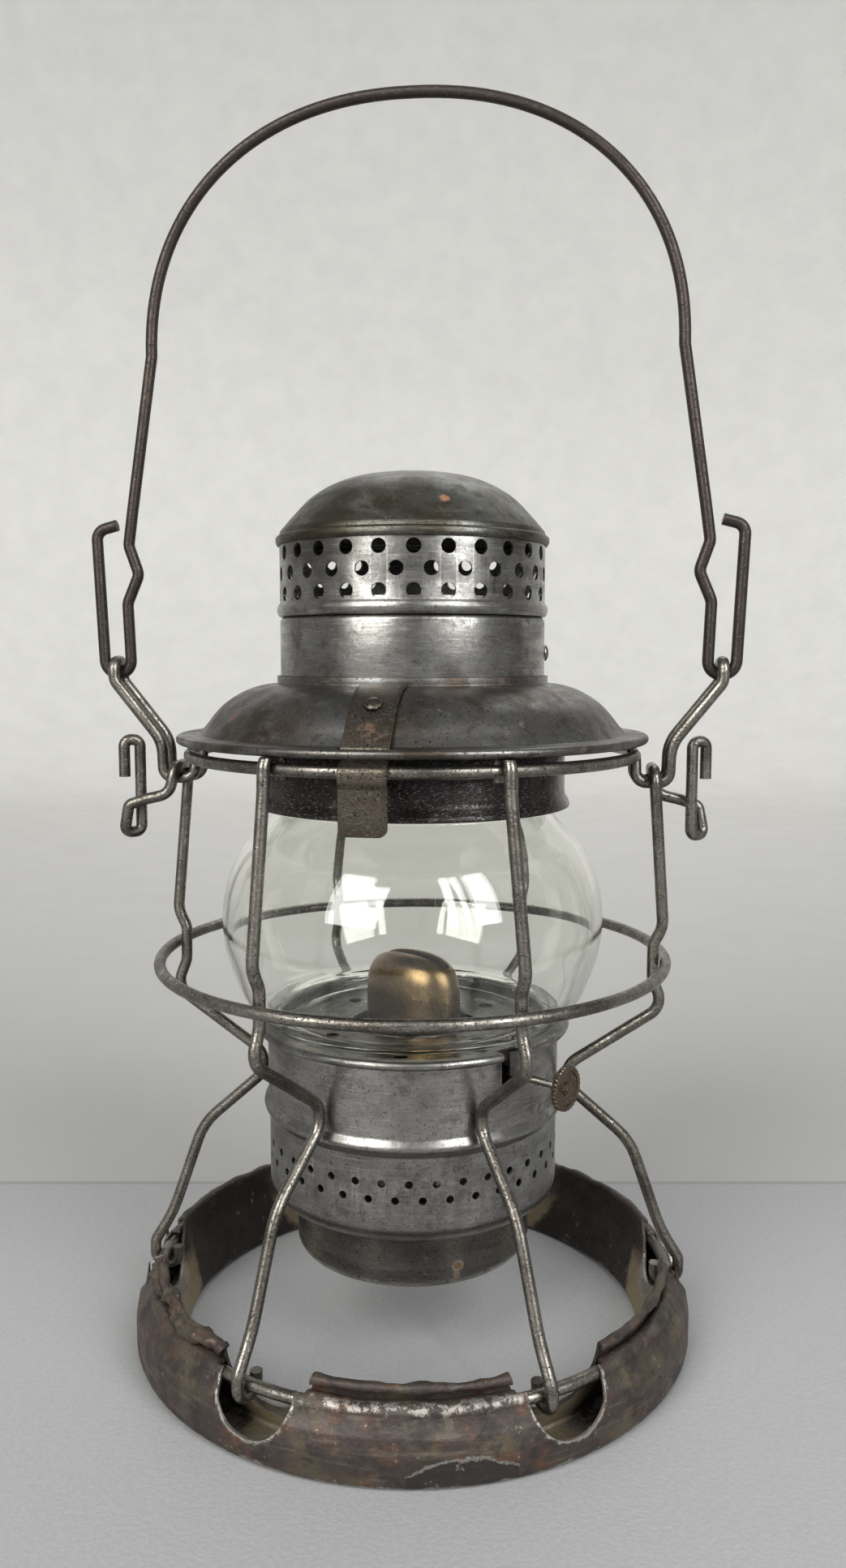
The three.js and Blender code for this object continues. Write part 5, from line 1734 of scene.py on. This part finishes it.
@dataclass
class Bail(Shared):
    """The carrying bail with a long eye and a kink at each end."""

    half_width: float = 81.6
    base: float = 308.0
    top: float = 382.65
    power: float = 2.2
    loop: float = 4.4
    kink: float = 3.1
    kink_half: float = 9.0

    def half_route(self) -> list[Corner]:
        """The right half, from the top of the arch to the tip of the eye."""
        rise = self.top - self.base
        kink_height = self.ear_top + 27.4
        inner, outer = self.ear_reach - self.loop, self.ear_reach + self.loop - 0.25
        bottom = self.ear_top - self.wire - GAP
        eye = self.ear_top + 41
        corners = []
        share = 2 / self.power
        for x, z in arc((0, 0), 1, 90, 0, 40):
            place = (self.half_width * abs(x) ** share, self.base + rise * abs(z) ** share)
            corners.append((place, 0.0))
        corners += [
            ((inner - self.kink / 2, kink_height + 2.2 * self.kink_half), 14.0),
            ((inner, kink_height + self.kink_half), 4.0),
            ((inner - self.kink, kink_height), 4.0),
            ((inner + self.kink / 4, kink_height - self.kink_half), 5.0),
            ((inner, bottom), self.loop),
            ((outer, bottom), self.loop),
            ((outer + self.wire / 2, eye), 3.6),
            ((inner + self.wire, eye + self.wire / 2), 0.0),
        ]
        return [(Vector((x, 0, z)), bend) for (x, z), bend in corners]

    def build(self) -> None:
        """Bends the bail from one wire."""
        right = self.half_route()
        left = [(Vector((-p.x, 0, p.z)), bend) for p, bend in reversed(right[1:])]
        bail = Bench.wire("bail_rod", bent([*left, *right], 10.0), self.wire)
        Bench.hand_over(bail, "bail", "bail", BAIL_WIRE)


@dataclass(frozen=True)
class Window:
    """A soft lamp as large as a window. Sizes are in metres."""

    azimuth: float
    elevation: float
    distance: float
    width: float
    height: float
    power: float
    colour: Colour
    aim: float = 0.18

    def build(self) -> None:
        """Hangs the lamp and aims it at the lantern."""
        a, e = math.radians(self.azimuth), math.radians(self.elevation)
        aim = Vector((0, 0, self.aim))
        towards = Vector((math.sin(a) * math.cos(e), -math.cos(a) * math.cos(e), math.sin(e)))
        place = aim + towards * self.distance
        turn = (aim - place).to_track_quat("-Z", "Y").to_euler()
        Bench.only()
        bpy.ops.object.light_add(type="AREA", location=place, rotation=turn)
        lamp = bpy.context.object.data
        lamp.shape = "RECTANGLE"
        lamp.size = self.width
        lamp.size_y = self.height
        lamp.energy = self.power
        lamp.color = self.colour


@dataclass
class Studio:
    """The round pale room, the light and the camera. Sizes here are in metres."""

    camera_place: Place = (0.04369, -0.38452, 0.21702)
    camera_turn: Place = (90 - 6.13, 0.0, 6.0)
    lens: float = 28.316
    room: float = 1.9
    ceiling: float = 2.4
    bend: float = 0.5
    drop: float = 0.0002
    sky: float = 0.3
    windows: tuple[Window, ...] = (
        Window(-30, 29, 1.55, 0.88, 1.22, 32.0, (1.0, 1.0, 0.98)),
        Window(49, 29, 1.55, 0.58, 1.22, 21.0, (0.98, 0.99, 1.0)),
        Window(30, 29, 1.55, 0.13, 1.22, 5.0, (0.98, 0.99, 1.0)),
        Window(172, 50, 1.6, 1.2, 1.0, 5.0, (1.0, 1.0, 1.0)),
    )

    def walls(self) -> None:
        """The floor and the round wall that it turns up into."""
        reach, rise, bend = self.room / MM, self.ceiling / MM, self.bend / MM
        low = -self.drop / MM
        line = [(0.0, low), (200.0, low), (600.0, low),
                *[(x, z + low) for x, z in arc((reach - bend, bend), bend, -90, 0, 12)], (reach, rise)]
        room = Bench.spun("room", line, 96)
        Bench.shade(room)
        room.data.materials.append(PALE_FLOOR.material())

    def sky_light(self) -> None:
        """The even light that falls in from above."""
        world = bpy.data.worlds.new("pale_sky")
        world.use_nodes = True
        sky = world.node_tree.nodes["Background"]
        sky.inputs["Color"].default_value = (0.96, 0.98, 1.0, 1)
        sky.inputs["Strength"].default_value = self.sky
        bpy.context.scene.world = world

    def camera(self) -> None:
        """The camera of the photograph."""
        Bench.only()
        bpy.ops.object.camera_add(location=self.camera_place,
                                  rotation=[math.radians(v) for v in self.camera_turn])
        camera = bpy.context.object
        camera.data.sensor_fit = "VERTICAL"
        camera.data.sensor_height = 36.0
        camera.data.lens = self.lens
        camera.data.clip_start = 0.01
        bpy.context.scene.camera = camera

    def build(self) -> None:
        """Sets the whole studio."""
        self.walls()
        for window in self.windows:
            window.build()
        self.sky_light()
        self.camera()
        bpy.context.scene.view_settings.view_transform = "Standard"


def main() -> None:
    """Builds every sub-assembly in order."""
    logging.basicConfig(level=logging.INFO, format="%(name)s: %(message)s")
    burner = Burner()
    for part in (Studio(), GuardFrame(), BaseBand(), PotAndFount(burner), burner, Lid(), Bail()):
        LOG.info("building %s", type(part).__name__)
        part.build()
    Bench.only()


if __name__ == "__main__":
    main()
